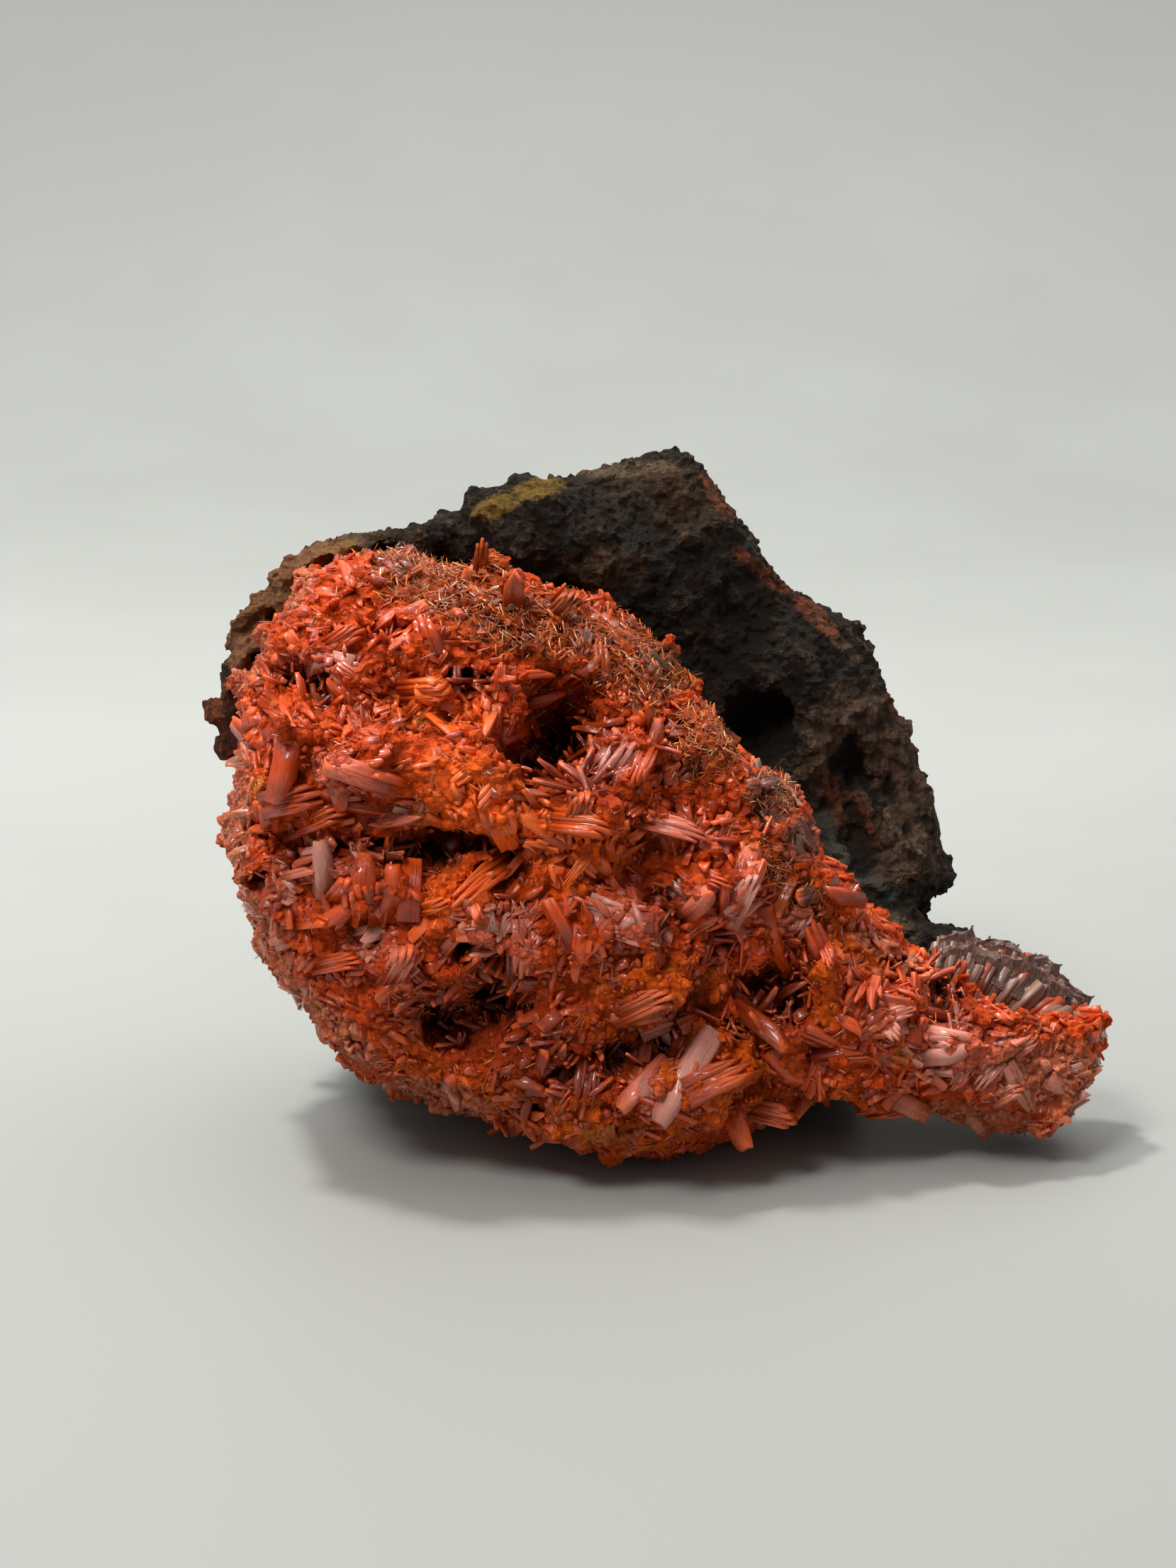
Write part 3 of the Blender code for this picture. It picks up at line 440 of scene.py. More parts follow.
# painted shade: the table darker towards the front and the backdrop darker as it rises
TABLE_NEAR_SHADE = (0.288, 0.291, 0.27)
BACKDROP_SHADE = (0.36, 0.365, 0.34)
SKY_WHITE = (0.97, 0.985, 1.0, 1.0)

# How far red, green and blue light travel inside the crystals, as shares of their scale
RED_LIGHT_REACH = (1.0, 0.2, 0.04)

# The studio: lamps by name, place, size in metres and power, and the side that the sky is brightest on
LAMPS = [
    ("skylight", (-0.12, 0.02, 0.40), 0.04, 1.2),
    ("overhead", (0.01, 0.17, 0.60), 0.85, 3.3),
    ("front_left", (-0.22, -0.28, 0.50), 0.16, 2.2),
]
LAMP_AIM = (0.0, 0.0, 0.02)
BRIGHT_SIDE = (-0.15, 0.45, 0.85)
SKY_DIMMEST = 0.17
SKY_BRIGHTEST = 0.47

# The table, in metres: its middle, its size, where it sweeps up, how the backdrop rises, and the sweep
TABLE_MIDDLE = (0.0, -0.05, 0.0)
TABLE_SIZE = (2.4, 1.3, 1.0, 1.0)
TABLE_BACK = 0.55
BACKDROP_RISE = (0.0, 0.15, 1.2)
SWEEP = 0.3

RIGHT = Vector((1.0, 0.0, 0.0))
UP = Vector((0.0, math.sin(math.radians(VIEW_TILT)), math.cos(math.radians(VIEW_TILT))))
AWAY = Vector((0.0, math.cos(math.radians(VIEW_TILT)), -math.sin(math.radians(VIEW_TILT))))


def in_plane(pixel):
    """A picture pixel as x, w in the picture plane, in millimetres."""
    return (
        (pixel[0] - ORIGIN_PIXEL[0]) * MM_PER_PIXEL,
        (ORIGIN_PIXEL[1] - pixel[1]) * MM_PER_PIXEL,
    )


CENTRE_X, CENTRE_W = in_plane(CENTRE_PIXEL)
EYE = (RIGHT * CENTRE_X + UP * CENTRE_W - AWAY * VIEW_DISTANCE - Vector(REST_CENTRE)) * MM


def seen(pixel, depth):
    """The point seen at a pixel, at this depth behind the picture plane, in metres."""
    x, w = in_plane(pixel)
    spread = 1.0 + depth / VIEW_DISTANCE
    x = CENTRE_X + (x - CENTRE_X) * spread
    w = CENTRE_W + (w - CENTRE_W) * spread
    return (RIGHT * x + UP * w + AWAY * depth - Vector(REST_CENTRE)) * MM


def sight(pixel):
    """Direction of the line of sight through a pixel."""
    return (seen(pixel, 0.0) - EYE).normalized()


def pixels_of(points):
    """The picture pixels at which points are seen."""
    from_eye = np.asarray(points) - np.array(EYE)
    scale = VIEW_DISTANCE * MM / (from_eye @ np.array(AWAY))
    x = from_eye @ np.array(RIGHT) * scale / MM + CENTRE_X
    w = from_eye @ np.array(UP) * scale / MM + CENTRE_W
    return np.stack((x / MM_PER_PIXEL + ORIGIN_PIXEL[0], ORIGIN_PIXEL[1] - w / MM_PER_PIXEL), axis=-1)


def within(pixels, ellipses):
    """How far into a zone each pixel lies: 1 at an ellipse's middle, 0 well outside."""
    share = np.zeros(len(pixels))
    for u, v, half_u, half_v, turn in ellipses:
        angle = math.radians(turn)
        du, dv = pixels[:, 0] - u, pixels[:, 1] - v
        along = (du * math.cos(angle) + dv * math.sin(angle)) / half_u
        across = (-du * math.sin(angle) + dv * math.cos(angle)) / half_v
        share = np.maximum(share, np.clip(ZONE_PEAK - np.hypot(along, across) * ZONE_FALL, 0.0, 1.0))
    return share


# Helpers for reworking a mesh


def new_object(name, data):
    """A mesh, light or camera, placed in the scene."""
    obj = bpy.data.objects.new(name, data)
    bpy.context.scene.collection.objects.link(obj)
    return obj


def alone(obj):
    bpy.ops.object.select_all(action="DESELECT")
    obj.select_set(True)
    bpy.context.view_layer.objects.active = obj


def joined(first, *others):
    """Objects made into one, under the first one's name."""
    alone(first)
    for obj in others:
        obj.select_set(True)
    bpy.ops.object.join()
    return first


def apply_modifiers(obj):
    alone(obj)
    for modifier in list(obj.modifiers):
        bpy.ops.object.modifier_apply(modifier=modifier.name)
    return obj


def in_edit_mode(obj, test=lambda part: True, mode="FACE"):
    """Goes into edit mode with the vertices, edges or faces selected that pass the test."""
    alone(obj)
    bpy.ops.object.mode_set(mode="EDIT")
    bpy.ops.mesh.select_mode(type=mode)
    bpy.ops.mesh.select_all(action="DESELECT")
    shape = bmesh.from_edit_mesh(obj.data)
    for part in {"VERT": shape.verts, "EDGE": shape.edges, "FACE": shape.faces}[mode]:
        part.select_set(test(part))
    bmesh.update_edit_mesh(obj.data)


def merged_copy(node, name):
    """A copy of a solid with its loose triangles merged."""
    obj = new_object(name, frame["nodes"][node].data.copy())
    obj.data.materials.clear()
    in_edit_mode(obj)
    bpy.ops.mesh.remove_doubles(threshold=MERGE_DISTANCE * MM)
    bpy.ops.object.mode_set(mode="OBJECT")
    return obj


def remesh(obj, grain, smoothing=0):
    modifier = obj.modifiers.new("remesh", "REMESH")
    modifier.mode = "VOXEL"
    modifier.voxel_size = grain * MM
    if smoothing:
        modifier = obj.modifiers.new("smooth", "SMOOTH")
        modifier.iterations = smoothing
    return apply_modifiers(obj)


def displace(obj, height, **settings):
    """Moves the surface by up to this many millimetres."""
    modifier = obj.modifiers.new("displace", "DISPLACE")
    modifier.strength = height * MM
    for setting, value in settings.items():
        setattr(modifier, setting, value)
    return apply_modifiers(obj)


def relief(obj, kind, height, grain, middle=0.5, metric="DISTANCE"):
    """Raises a pattern on the surface, of this height and grain in millimetres."""
    texture = bpy.data.textures.new(kind.lower(), kind)
    texture.noise_scale = grain * MM
    if kind == "VORONOI":
        texture.distance_metric = metric
    return displace(obj, height, texture=texture, texture_coords="LOCAL", mid_level=middle)


def shrink(obj, depth):
    """Draws the whole surface in by this many millimetres, to make room for what grows on it."""
    return displace(obj, -depth, mid_level=0.0)


def coordinates(obj):
    points = np.empty(len(obj.data.vertices) * 3, np.float32)
    obj.data.vertices.foreach_get("co", points)
    return points.reshape(-1, 3).astype(float)


def rest_on_table(obj):
    """Presses anything that relief pushed through the table back onto it."""
    points = coordinates(obj)
    points[:, 2] = np.maximum(points[:, 2], 0.0)
    obj.data.vertices.foreach_set("co", points.astype(np.float32).ravel())
    obj.data.update()


def paint(obj, name, values):
    """A number on each vertex, for the material."""
    layer = obj.data.attributes.new(name, "FLOAT", "POINT")
    layer.data.foreach_set("value", np.asarray(values, np.float32))


def paint_vectors(obj, name, values):
    layer = obj.data.attributes.new(name, "FLOAT_VECTOR", "POINT")
    layer.data.foreach_set("vector", np.asarray(values, np.float32).ravel())


def paint_zones(obj, pixels):
    for zone, ellipses in ZONES.items():
        if zone != "cavity":
            paint(obj, zone, within(pixels, ellipses))


def drop_loose(obj):
    """Deletes every bit that doesn't hang together with the highest point."""
    highest = int(coordinates(obj)[:, 2].argmax())
    in_edit_mode(obj, lambda vertex: vertex.index == highest, "VERT")
    bpy.ops.mesh.select_linked()
    bpy.ops.mesh.select_all(action="INVERT")
    bpy.ops.mesh.delete(type="VERT")
    bpy.ops.object.mode_set(mode="OBJECT")
    return obj


def weigh(obj, name, values, steps=10):
    """A vertex group from a number on each vertex, in steps."""
    group = obj.vertex_groups.new(name=name)
    for step in range(1, steps + 1):
        chosen = np.nonzero(np.round(values * steps) == step)[0]
        group.add([int(i) for i in chosen], step / steps, "REPLACE")


def tree_of(obj):
    return BVHTree.FromPolygons(
        [vertex.co for vertex in obj.data.vertices],
        [face.vertices for face in obj.data.polygons],
    )


def height_over(tree, point):
    """How far a point stands out of a surface, below zero inside it, in metres."""
    point = Vector(point)
    near, normal, _, distance = tree.find_nearest(point)
    return distance if (point - near).dot(normal) > 0.0 else -distance


# Crystals, each modelled once


def cut(obj, point, direction):
    """Cuts off what lies beyond a plane and closes the cut."""
    in_edit_mode(obj)
    bpy.ops.mesh.bisect(plane_co=point, plane_no=direction, use_fill=True, clear_outer=True)
    bpy.ops.object.mode_set(mode="OBJECT")


def ribbed_blade(name, outline, chips, taper):
    """A blade with this outline across and slanting faces at its tip, one unit each way."""
    bpy.ops.mesh.primitive_circle_add(vertices=len(outline), radius=0.5, fill_type="NGON")
    obj = bpy.context.object
    obj.name = name
    for vertex, corner in zip(obj.data.vertices, outline):
        vertex.co = (*corner, 0.0)
    in_edit_mode(obj)
    bpy.ops.mesh.extrude_region_move(TRANSFORM_OT_translate={"value": (0.0, 0.0, 1.0)})
    bpy.ops.transform.resize(value=(taper, taper, 1.0), center_override=(0.0, 0.0, 1.0))
    bpy.ops.mesh.select_all(action="SELECT")
    bpy.ops.mesh.normals_make_consistent(inside=False)
    bpy.ops.object.mode_set(mode="OBJECT")
    for height, lean_x, lean_y in chips:
        cut(obj, (0.0, 0.0, height), (lean_x, lean_y, 1.0))
    return obj


def sheaf(name, blade, strips):
    """Blades side by side, grown together to uneven lengths."""
    copies = []
    for across, through, width, length in strips:
        copy = new_object(name, blade.data.copy())
        stretch = Matrix.Diagonal((width, STRIP_THICKNESS, length, 1.0))
        copy.data.transform(Matrix.Translation((across, through, 0.0)) @ stretch)
        copies.append(copy)
    return joined(*copies)


def lump(name, flats):
    """A broken lump: a coarse ball with flats."""
    bpy.ops.mesh.primitive_ico_sphere_add(subdivisions=1, radius=BALL_RADIUS)
    obj = bpy.context.object
    obj.name = name
    for direction, distance in flats:
        cut(obj, Vector(direction) * distance, direction)
    return obj


def crystal_kinds():
    """Every crystal that repeats, modelled once."""
    kinds = {name: ribbed_blade(name, *shape) for name, shape in BLADE_SHAPES.items()}
    for name, (strip, strips) in SHEAF_SHAPES.items():
        kinds[name] = sheaf(name, kinds[strip], strips)
    for name, flats in LUMP_SHAPES.items():
        kinds[name] = lump(name, flats)
    return kinds


def unit(vectors):
    return vectors / np.maximum(np.linalg.norm(vectors, axis=-1, keepdims=True), 1e-12)


def inside_box(points):
    """Which points stay inside the solid's box, grown by a little."""
    low, high = np.array(cad_box[0]), np.array(cad_box[1])
    margin = (high - low) * BOX_SPARE
    return np.all((points > low - margin) & (points < high + margin), axis=-1)


def rooted(roots, reaches, widths, body):
    """Which crystals touch the body, or lie inside it, at one of a few places on their lower half."""
    touching = np.zeros(len(roots), bool)
    for number, (root, reach, width) in enumerate(zip(roots, reaches, widths)):
        places = (root + reach * share for share in (0.0, 0.25, 0.5))
        touching[number] = any(height_over(body, place) < width * 0.35 for place in places)
    return touching


class Thicket:
    """Crystals to be grown together into one piece: roots, axes, sizes and tones by kind."""

    def __init__(self, body=None):
        self.rows = []
        self.body = body

    def add(self, kind, roots, axes, sizes, tones):
        """Adds crystals, leaving out those that reach into the table or too far, or touch nothing."""
        roots, axes, sizes, tones = (np.asarray(values) for values in (roots, axes, sizes, tones))
        reaches = axes[:, :, 2] * sizes[:, 2:]
        half = sizes[:, :2].max(axis=1) * 0.5
        keep = (roots + reaches)[:, 2] - half > TIP_CLEARANCE * MM
        keep &= roots[:, 2] - half > ROOT_CLEARANCE * MM
        keep &= inside_box(roots + reaches) & inside_box(roots)
        if self.body:
            keep &= rooted(roots, reaches, sizes[:, 0], self.body)
        self.place(kind, roots[keep], axes[keep], sizes[keep], tones[keep])

    def place(self, kind, *row):
        """Adds crystals as they are."""
        self.rows.append((kind, *(np.asarray(values) for values in row)))

    def grown(self, name, kinds, hollow_shading=None):
        """The joined mesh, with each crystal's tone, zones and own measures as attributes."""
        corners, loops, totals, tones, grains, middles, reaches = [], [], [], [], [], [], []
        first = 0
        order = list(dict.fromkeys(row[0] for row in self.rows))
        for kind, roots, axes, sizes, tone in sorted(self.rows, key=lambda row: order.index(row[0])):
            shape = coordinates(kinds[kind])
            faces = [tuple(face.vertices) for face in kinds[kind].data.polygons]
            amount, size = len(roots), len(shape)
            local = shape[None, :, :] * sizes[:, None, :]
            placed = np.einsum("nij,nvj->nvi", axes, local) + roots[:, None, :]
            corners.append(placed.reshape(-1, 3))
            shifts = first + np.arange(amount) * size
            loops.append((np.concatenate(faces)[None, :] + shifts[:, None]).ravel())
            totals.append(np.tile([len(face) for face in faces], amount))
            tones.append(np.repeat(tone, size))
            grains.append((local / MM + tone[:, None, None] * TONE_SHIFT).reshape(-1, 3))
            middles.append(np.repeat(roots + axes[:, :, 2] * sizes[:, 2:] * 0.6, size, axis=0))
            reaches.append(np.tile(shape[:, 2], amount))
            first += amount * size
        corners, loops, totals = np.concatenate(corners), np.concatenate(loops), np.concatenate(totals)
        corners[:, 2] = np.maximum(corners[:, 2], 0.0)
        mesh = bpy.data.meshes.new(name)
        mesh.vertices.add(len(corners))
        mesh.vertices.foreach_set("co", corners.astype(np.float32).ravel())
        mesh.loops.add(len(loops))
        mesh.loops.foreach_set("vertex_index", loops.astype(np.int32))
        mesh.polygons.add(len(totals))
        starts = np.concatenate(([0], np.cumsum(totals)[:-1]))
        mesh.polygons.foreach_set("loop_start", starts.astype(np.int32))
        mesh.polygons.foreach_set("loop_total", totals.astype(np.int32))
        mesh.update(calc_edges=True)
        obj = new_object(name, mesh)
        if hollow_shading is not None:
            paint(obj, "tone", np.concatenate(tones))
            # 0 at each crystal's root, 1 at its tip: the materials paint shade towards roots and light
            # towards blade tips
            paint(obj, "reach", np.concatenate(reaches))
            paint_vectors(obj, "grain", np.concatenate(grains))
            paint_zones(obj, pixels_of(np.concatenate(middles)))
            # share of painted shade in pockets below the overall shape
            paint(obj, "hollow_shade", hollow_shading(corners))
        return obj


def axes_along(along, roll, dice):
    """Axes across, through and along each crystal, rolled about its length."""
    helper = unit(dice.normal(size=along.shape)) if roll is None else roll
    across = unit(np.cross(along, helper))
    through = np.cross(along, across)
    return np.stack((across, through, along), axis=-1)


class Ground:
    """A body's smooth skin, for sowing crystals on it."""

    def __init__(self, skin, rock_tree=None):
        mesh = skin.data
        mesh.calc_loop_triangles()
        triangles = np.empty(len(mesh.loop_triangles) * 3, np.int32)
        mesh.loop_triangles.foreach_get("vertices", triangles)
        self.corners = coordinates(skin)[triangles.reshape(-1, 3)]
        self.first_corner = self.corners[:, 0]
        self.sides = self.corners[:, 1] - self.first_corner, self.corners[:, 2] - self.first_corner
        across = np.cross(*self.sides)
        self.areas = np.linalg.norm(across, axis=1) / 2
        self.normals = unit(across)
        middles = self.corners.mean(axis=1)
        self.areas[middles[:, 2] < SOWING_HEIGHT * MM] = 0.0
        self.heights = middles[:, 2] / MM
        if rock_tree is not None:
            covered = [rock_tree.find_nearest(middle)[3] < ROCK_MARGIN * MM for middle in middles]
            self.areas[np.array(covered)] = 0.0
        self.facing = -(unit(middles - np.array(EYE)) * self.normals).sum(axis=1)
        self.zones = {zone: within(pixels_of(middles), ellipses) for zone, ellipses in ZONES.items()}
        self.tree = tree_of(skin)

    def sow(self, dice, count, density=1.0):
        """Random points on the skin with their normals, weighted by a density."""
        weights = self.areas * density
        picks = dice.choice(len(weights), size=count, p=weights / weights.sum())
        first, second = dice.random(count), dice.random(count)
        flip = first + second > 1.0
        first[flip], second[flip] = 1.0 - first[flip], 1.0 - second[flip]
        points = self.first_corner[picks] + self.sides[0][picks] * first[:, None]
        return points + self.sides[1][picks] * second[:, None], self.normals[picks]


def leaning(normals, dice, low, high):
    """Directions that rise from the skin by an angle between low and high, in degrees."""
    sideways = unit(np.cross(normals, unit(dice.normal(size=normals.shape))))
    angle = np.radians(dice.uniform(low, high, len(normals)))[:, None]
    return unit(sideways * np.cos(angle) + normals * np.sin(angle))


def low_enough(tips, tree, limit):
    """Which tips stand no more than this many millimetres out of the skin."""
    return np.array([height_over(tree, tip) for tip in tips]) < limit * MM


def sow_blades(thicket, ground, dice, sprays, density):
    """Groups of blades that share a direction, as crystals grow in sprays."""
    count, group, widths, slender, rise, sink, limit, kinds = sprays
    middles, normals = ground.sow(dice, count // group, density)
    shared = np.repeat(leaning(normals, dice, *rise), group, axis=0)
    along = unit(shared + dice.normal(scale=SPRAY_SCATTER, size=(len(middles) * group, 3)))
    width = (widths[0] + (widths[1] - widths[0]) * dice.random(len(along)) ** FEW_LARGE) * MM
    spread = dice.normal(scale=SPRAY_SPREAD, size=(len(along), 3)) * width[:, None]
    normals = np.repeat(normals, group, axis=0)
    spread -= normals * (spread * normals).sum(axis=1, keepdims=True)
    roots = np.repeat(middles, group, axis=0) + spread
    length = width * dice.uniform(*slender, len(along))
    roots = roots - normals * (sink * width[:, None]) - along * (length[:, None] * BURIED_SHARE)
    choice = dice.integers(0, len(kinds), len(along))
    tones = dice.random(len(along))
    roll = normals + dice.normal(scale=ROLL_SCATTER, size=normals.shape)
    keep = low_enough(roots + along * length[:, None], ground.tree, limit)
    keep &= low_enough(roots + along * (length[:, None] * FOOT_SHARE), ground.tree, FOOT_LIMIT)
    for number, (kind, thickness) in enumerate(kinds):
        mine = keep & (choice == number)
        axes = axes_along(along[mine], roll[mine], dice)
        sizes = np.stack((width[mine], width[mine] * thickness, length[mine]), axis=-1)
        thicket.add(kind, roots[mine], axes, sizes, tones[mine])


def sow_lumps(thicket, ground, dice, lumps, density=1.0):
    """Broken lumps and grains, partly sunk in the skin."""
    count, sizes, heights, kinds = lumps
    points, normals = ground.sow(dice, count, density)
    size = (sizes[0] + (sizes[1] - sizes[0]) * dice.random(count) ** FEW_LARGE_LUMPS)[:, None] * MM
    shape = dice.uniform(0.6, 1.25, (count, 3))
    axes = axes_along(unit(dice.normal(size=(count, 3)) + normals), None, dice)
    points = points + normals * size * dice.uniform(*heights, (count, 1))
    tones = dice.random(count)
    choice = dice.integers(0, len(kinds), count)
    for number, kind in enumerate(kinds):
        mine = choice == number
        thicket.add(kind, points[mine], axes[mine], (size * shape)[mine], tones[mine])


def sow_needles(thicket, ground, dice, needles, density):
    """Hair-fine needles, matted over the skin."""
    count, lengths, widths = needles
    points, normals = ground.sow(dice, count, density)
    along = leaning(normals, dice, 0.0, 45.0)
    length = dice.uniform(*lengths, count) * MM
    width = dice.uniform(*widths, count) * MM
    roots = points + normals * dice.uniform(-0.1, 0.3, (count, 1)) * MM - along * length[:, None] * 0.5
    axes = axes_along(along, None, dice)
    sizes = np.stack((width, width, length), axis=-1)
    thicket.add("hair", roots, axes, sizes, dice.random(count))


def picked_blades(thicket, skin_tree, dice):
    """The blades that show one by one, each found on the crust along its line of sight."""
    for root_pixel, tip_pixel, width, rise, form in PICKED_BLADES:
        to_root, to_tip = sight(root_pixel), sight(tip_pixel)
        root, normal = skin_tree.ray_cast(EYE, to_root)[:2]
        if root is None:
            continue
        beyond = skin_tree.ray_cast(EYE, to_tip)[0]
        reach = (root - EYE).length if beyond is None else (beyond - EYE).length
        tip = EYE + to_tip * (reach - rise * MM)
        along = (tip - root).normalized()
        root = root - normal * PICKED_SINK * MM - along * PICKED_BURIED * MM
        across = along.cross(root - EYE).normalized()
        across.rotate(Matrix.Rotation(dice.uniform(-PICKED_ROLL, PICKED_ROLL), 3, along))
        axes = np.array(Matrix((across, along.cross(across), along)).transposed())
        width = min(width, 1.0 + width * 0.35)
        size = np.array((width, width * THICKNESS_BY_WIDTH[form], (tip - root).length / MM)) * MM
        kinds = KINDS_BY_FORM[form]
        kind = kinds[dice.integers(0, len(kinds))]
        thicket.add(kind, [np.array(root)], [axes], [size], [dice.uniform(0.35, 1.0)])


# Materials


class Socket:
    """A shader value that takes part in Python arithmetic."""

    def __init__(self, shader, output):
        self.shader = shader
        self.output = output

    def maths(self, operation, *values):
        return self.shader.node("ShaderNodeMath", {"operation": operation}, dict(enumerate(values)))

    def __add__(self, other):
        return self.maths("ADD", self, other)

    def __sub__(self, other):
        return self.maths("SUBTRACT", self, other)

    def __rsub__(self, other):
        return self.maths("SUBTRACT", other, self)

    def __mul__(self, other):
        return self.maths("MULTIPLY", self, other)

    __radd__ = __add__
    __rmul__ = __mul__

    def between(self, start, full):
        """0 at start, 1 at full and a smooth step between."""
        settings = {"interpolation_type": "SMOOTHSTEP"}
        return self.shader.node("ShaderNodeMapRange", settings, {0: self, 1: start, 2: full})


class Shader:
    """The nodes of a material or of the world, added by type, settings and sockets."""

    def __init__(self, owner):
        owner.use_nodes = True
        self.owner = owner
        self.tree = owner.node_tree

    def node(self, kind, settings=None, sockets=None, output=0):
        node = self.tree.nodes.new(kind)
        for setting, value in (settings or {}).items():
            setattr(node, setting, value)
        for socket, value in (sockets or {}).items():
            self.feed(node.inputs[socket], value)
        return Socket(self, node.outputs[output])

    def feed(self, target, value):
        if isinstance(value, Socket):
            self.tree.links.new(value.output, target)
        elif value is not None:
            target.default_value = value

    def place(self):
        return self.node("ShaderNodeTexCoord", output="Object")

    def numbers(self, *names):
        """The numbers painted on the piece under these names."""
        return [self.node("ShaderNodeAttribute", {"attribute_name": name}, output="Fac") for name in names]

    def vector(self, name):
        return self.node("ShaderNodeAttribute", {"attribute_name": name}, output="Vector")

    def stretched(self, vector, factors):
        return self.node("ShaderNodeVectorMath", {"operation": "MULTIPLY"}, {0: vector, 1: factors})

    def noise(self, vector, scale, detail=3.0, roughness=0.6):
        sockets = {"Vector": vector, "Scale": scale, "Detail": detail, "Roughness": roughness}
        return self.node("ShaderNodeTexNoise", None, sockets, "Fac")

    def cells(self, vector, scale):
        return self.node("ShaderNodeTexVoronoi", None, {"Vector": vector, "Scale": scale}, "Distance")

    def mixed(self, first, second, share):
        """One colour towards another."""
        first = (*first, 1.0) if isinstance(first, tuple) else first
        second = (*second, 1.0) if isinstance(second, tuple) else second
        return self.node("ShaderNodeMix", {"data_type": "RGBA"}, {0: share, 6: first, 7: second}, 2)

    def layered(self, colour, layers):
        """Colours laid over each other: each tint, its pattern, where that starts and is full, strength."""
        for tint, pattern, start, full, strength in layers:
            colour = self.mixed(colour, tint, pattern.between(start, full) * strength)
        return colour

    def bump(self, height, distance, strength=1.0, normal=None):
        sockets = {"Height": height, "Distance": distance * MM, "Strength": strength, "Normal": normal}
        return self.node("ShaderNodeBump", None, sockets, "Normal")

    def finish(self, colour, roughness, normal, **constants):
        """Feeds the material's surface and sets what is the same everywhere."""
        inputs = self.tree.nodes["Principled BSDF"].inputs
        self.feed(inputs["Base Color"], colour)
        self.feed(inputs["Roughness"], roughness)
        self.feed(inputs["Normal"], normal)
        for name, value in constants.items():
            inputs[name.replace("_", " ")].default_value = value
        return self.owner


def material_shader(name):
    return Shader(bpy.data.materials.new(name))


def per_mm(cells):
    """A texture scale that gives this many cells to the millimetre."""
    return cells / MM


def crocoite_colour(s, streaks, tone, fleck, cloud, patch, dusting):
    """Orange-red, pink, powdery or brown by zone; painted light in the painted_glow zone, painted sky
    reflection on pink faces, painted shade in the shade zone and in the needle mat's gaps.
    """
    painted_glow, milky_and_sheen, powder, hair = s.numbers("painted_glow", "milky_and_sheen", "powder", "hair")
    rind, yellow, ashen, shade = s.numbers("rind", "yellow", "ashen", "shade")
    tan = s.mixed(RIND_BROWN, RIND_TAN, fleck.between(0.35, 0.65))
    colour = s.layered(DEEP_RED, [
        (RED_ORANGE, streaks * 0.6 + tone * 0.4 + patch * 0.5 + painted_glow * 0.35, 0.35, 0.95, 1.0),
        (GLOW_ORANGE, painted_glow * 0.75 + patch * 0.6 + tone * 0.25, 0.5, 0.95, 1.0),
        (DUSTY_PINK_SHEEN, milky_and_sheen * 0.5 + streaks * 0.5 + tone * 0.4, 0.76, 1.1, 0.8),
        (POWDER_ORANGE, powder * 0.5 + fleck * 0.8 + cloud * 0.3 - painted_glow * 0.4, 0.76, 1.0, dusting),
        (OCHRE_YELLOW, yellow * 0.5 + fleck * 0.9, 0.68, 0.95, dusting * 0.7),
        (NEEDLE_BROWN, hair * 0.6 + fleck * 0.5 - tone * 0.3, 0.3, 0.75, 0.7),
        # painted shade: near-black gaps in the needle mat
        (HOLLOW_SHADE_RED, hair * 0.5 - patch, -0.05, 0.1, 0.8),
        (tan, rind * 0.6 + patch * 0.6, 0.55, 0.95, 0.8),
        (ASH_GREY, ashen + fleck * 0.6 - tone * 0.4, 0.5, 0.9, 0.85),
    ])
    return s.mixed(colour, SHADE_RED, shade * 0.8)


def blade_material():
    """Translucent crocoite: striated, red-orange to dusty pink, dusted with orange powder, with painted
    shade at the roots and in pockets, painted light at the tips and painted sky reflections on pink and
    lilac faces.
    """
    s = material_shader("crocoite_blades")
    place, grain = s.place(), s.vector("grain")
    tone, reach, milky_and_sheen, powder, hollow_shade = s.numbers("tone", "reach", "milky_and_sheen", "powder", "hollow_shade")
    streaks = s.noise(s.stretched(grain, (6.0, 6.0, 0.4)), 1.0, 3.0)
    fibres = s.noise(s.stretched(grain, (18.0, 18.0, 0.7)), 1.0, 2.0)
    cloud = s.noise(place, per_mm(0.16), 2.0)
    patch = s.noise(place, per_mm(0.55), 3.0)
    fleck = s.noise(place, per_mm(2.0), 4.0, 0.7)
    colour = crocoite_colour(s, streaks * 0.6 + fibres * 0.4, tone, fleck, cloud, patch, 0.5)
    colour = s.layered(colour, [
        # painted shade: darker deep red towards each blade's root
        (DEEP_RED, reach + streaks * 0.2, 0.75, 0.2, 0.6),
        # painted light: brighter orange at each blade's tip
        (GLOW_ORANGE, reach + streaks * 0.3, 0.95, 1.2, 0.6),
        # painted reflection: pale lilac on some faces
        (LILAC_REFLECTION, milky_and_sheen * 0.5 + tone * 0.8 + streaks * 0.4, 1.15, 1.45, 0.8),
    ])
    # painted shade in pockets of the crust
    colour = s.mixed(colour, HOLLOW_SHADE_RED, hollow_shade * 0.9)
    dusty = (fleck + powder * 0.15).between(0.52, 0.7)
    roughness = 0.09 + streaks * 0.12 + dusty * 0.4
    normal = s.bump(streaks + fibres * 0.6, 0.10)
    normal = s.bump(fleck, 0.05, 0.5, normal)
    return s.finish(
        colour, roughness, normal,
        IOR=1.5, Specular_IOR_Level=0.4, Coat_Weight=0.4, Coat_Roughness=0.04,
        Subsurface_Weight=0.25, Subsurface_Radius=RED_LIGHT_REACH, Subsurface_Scale=0.5 * MM,
    )


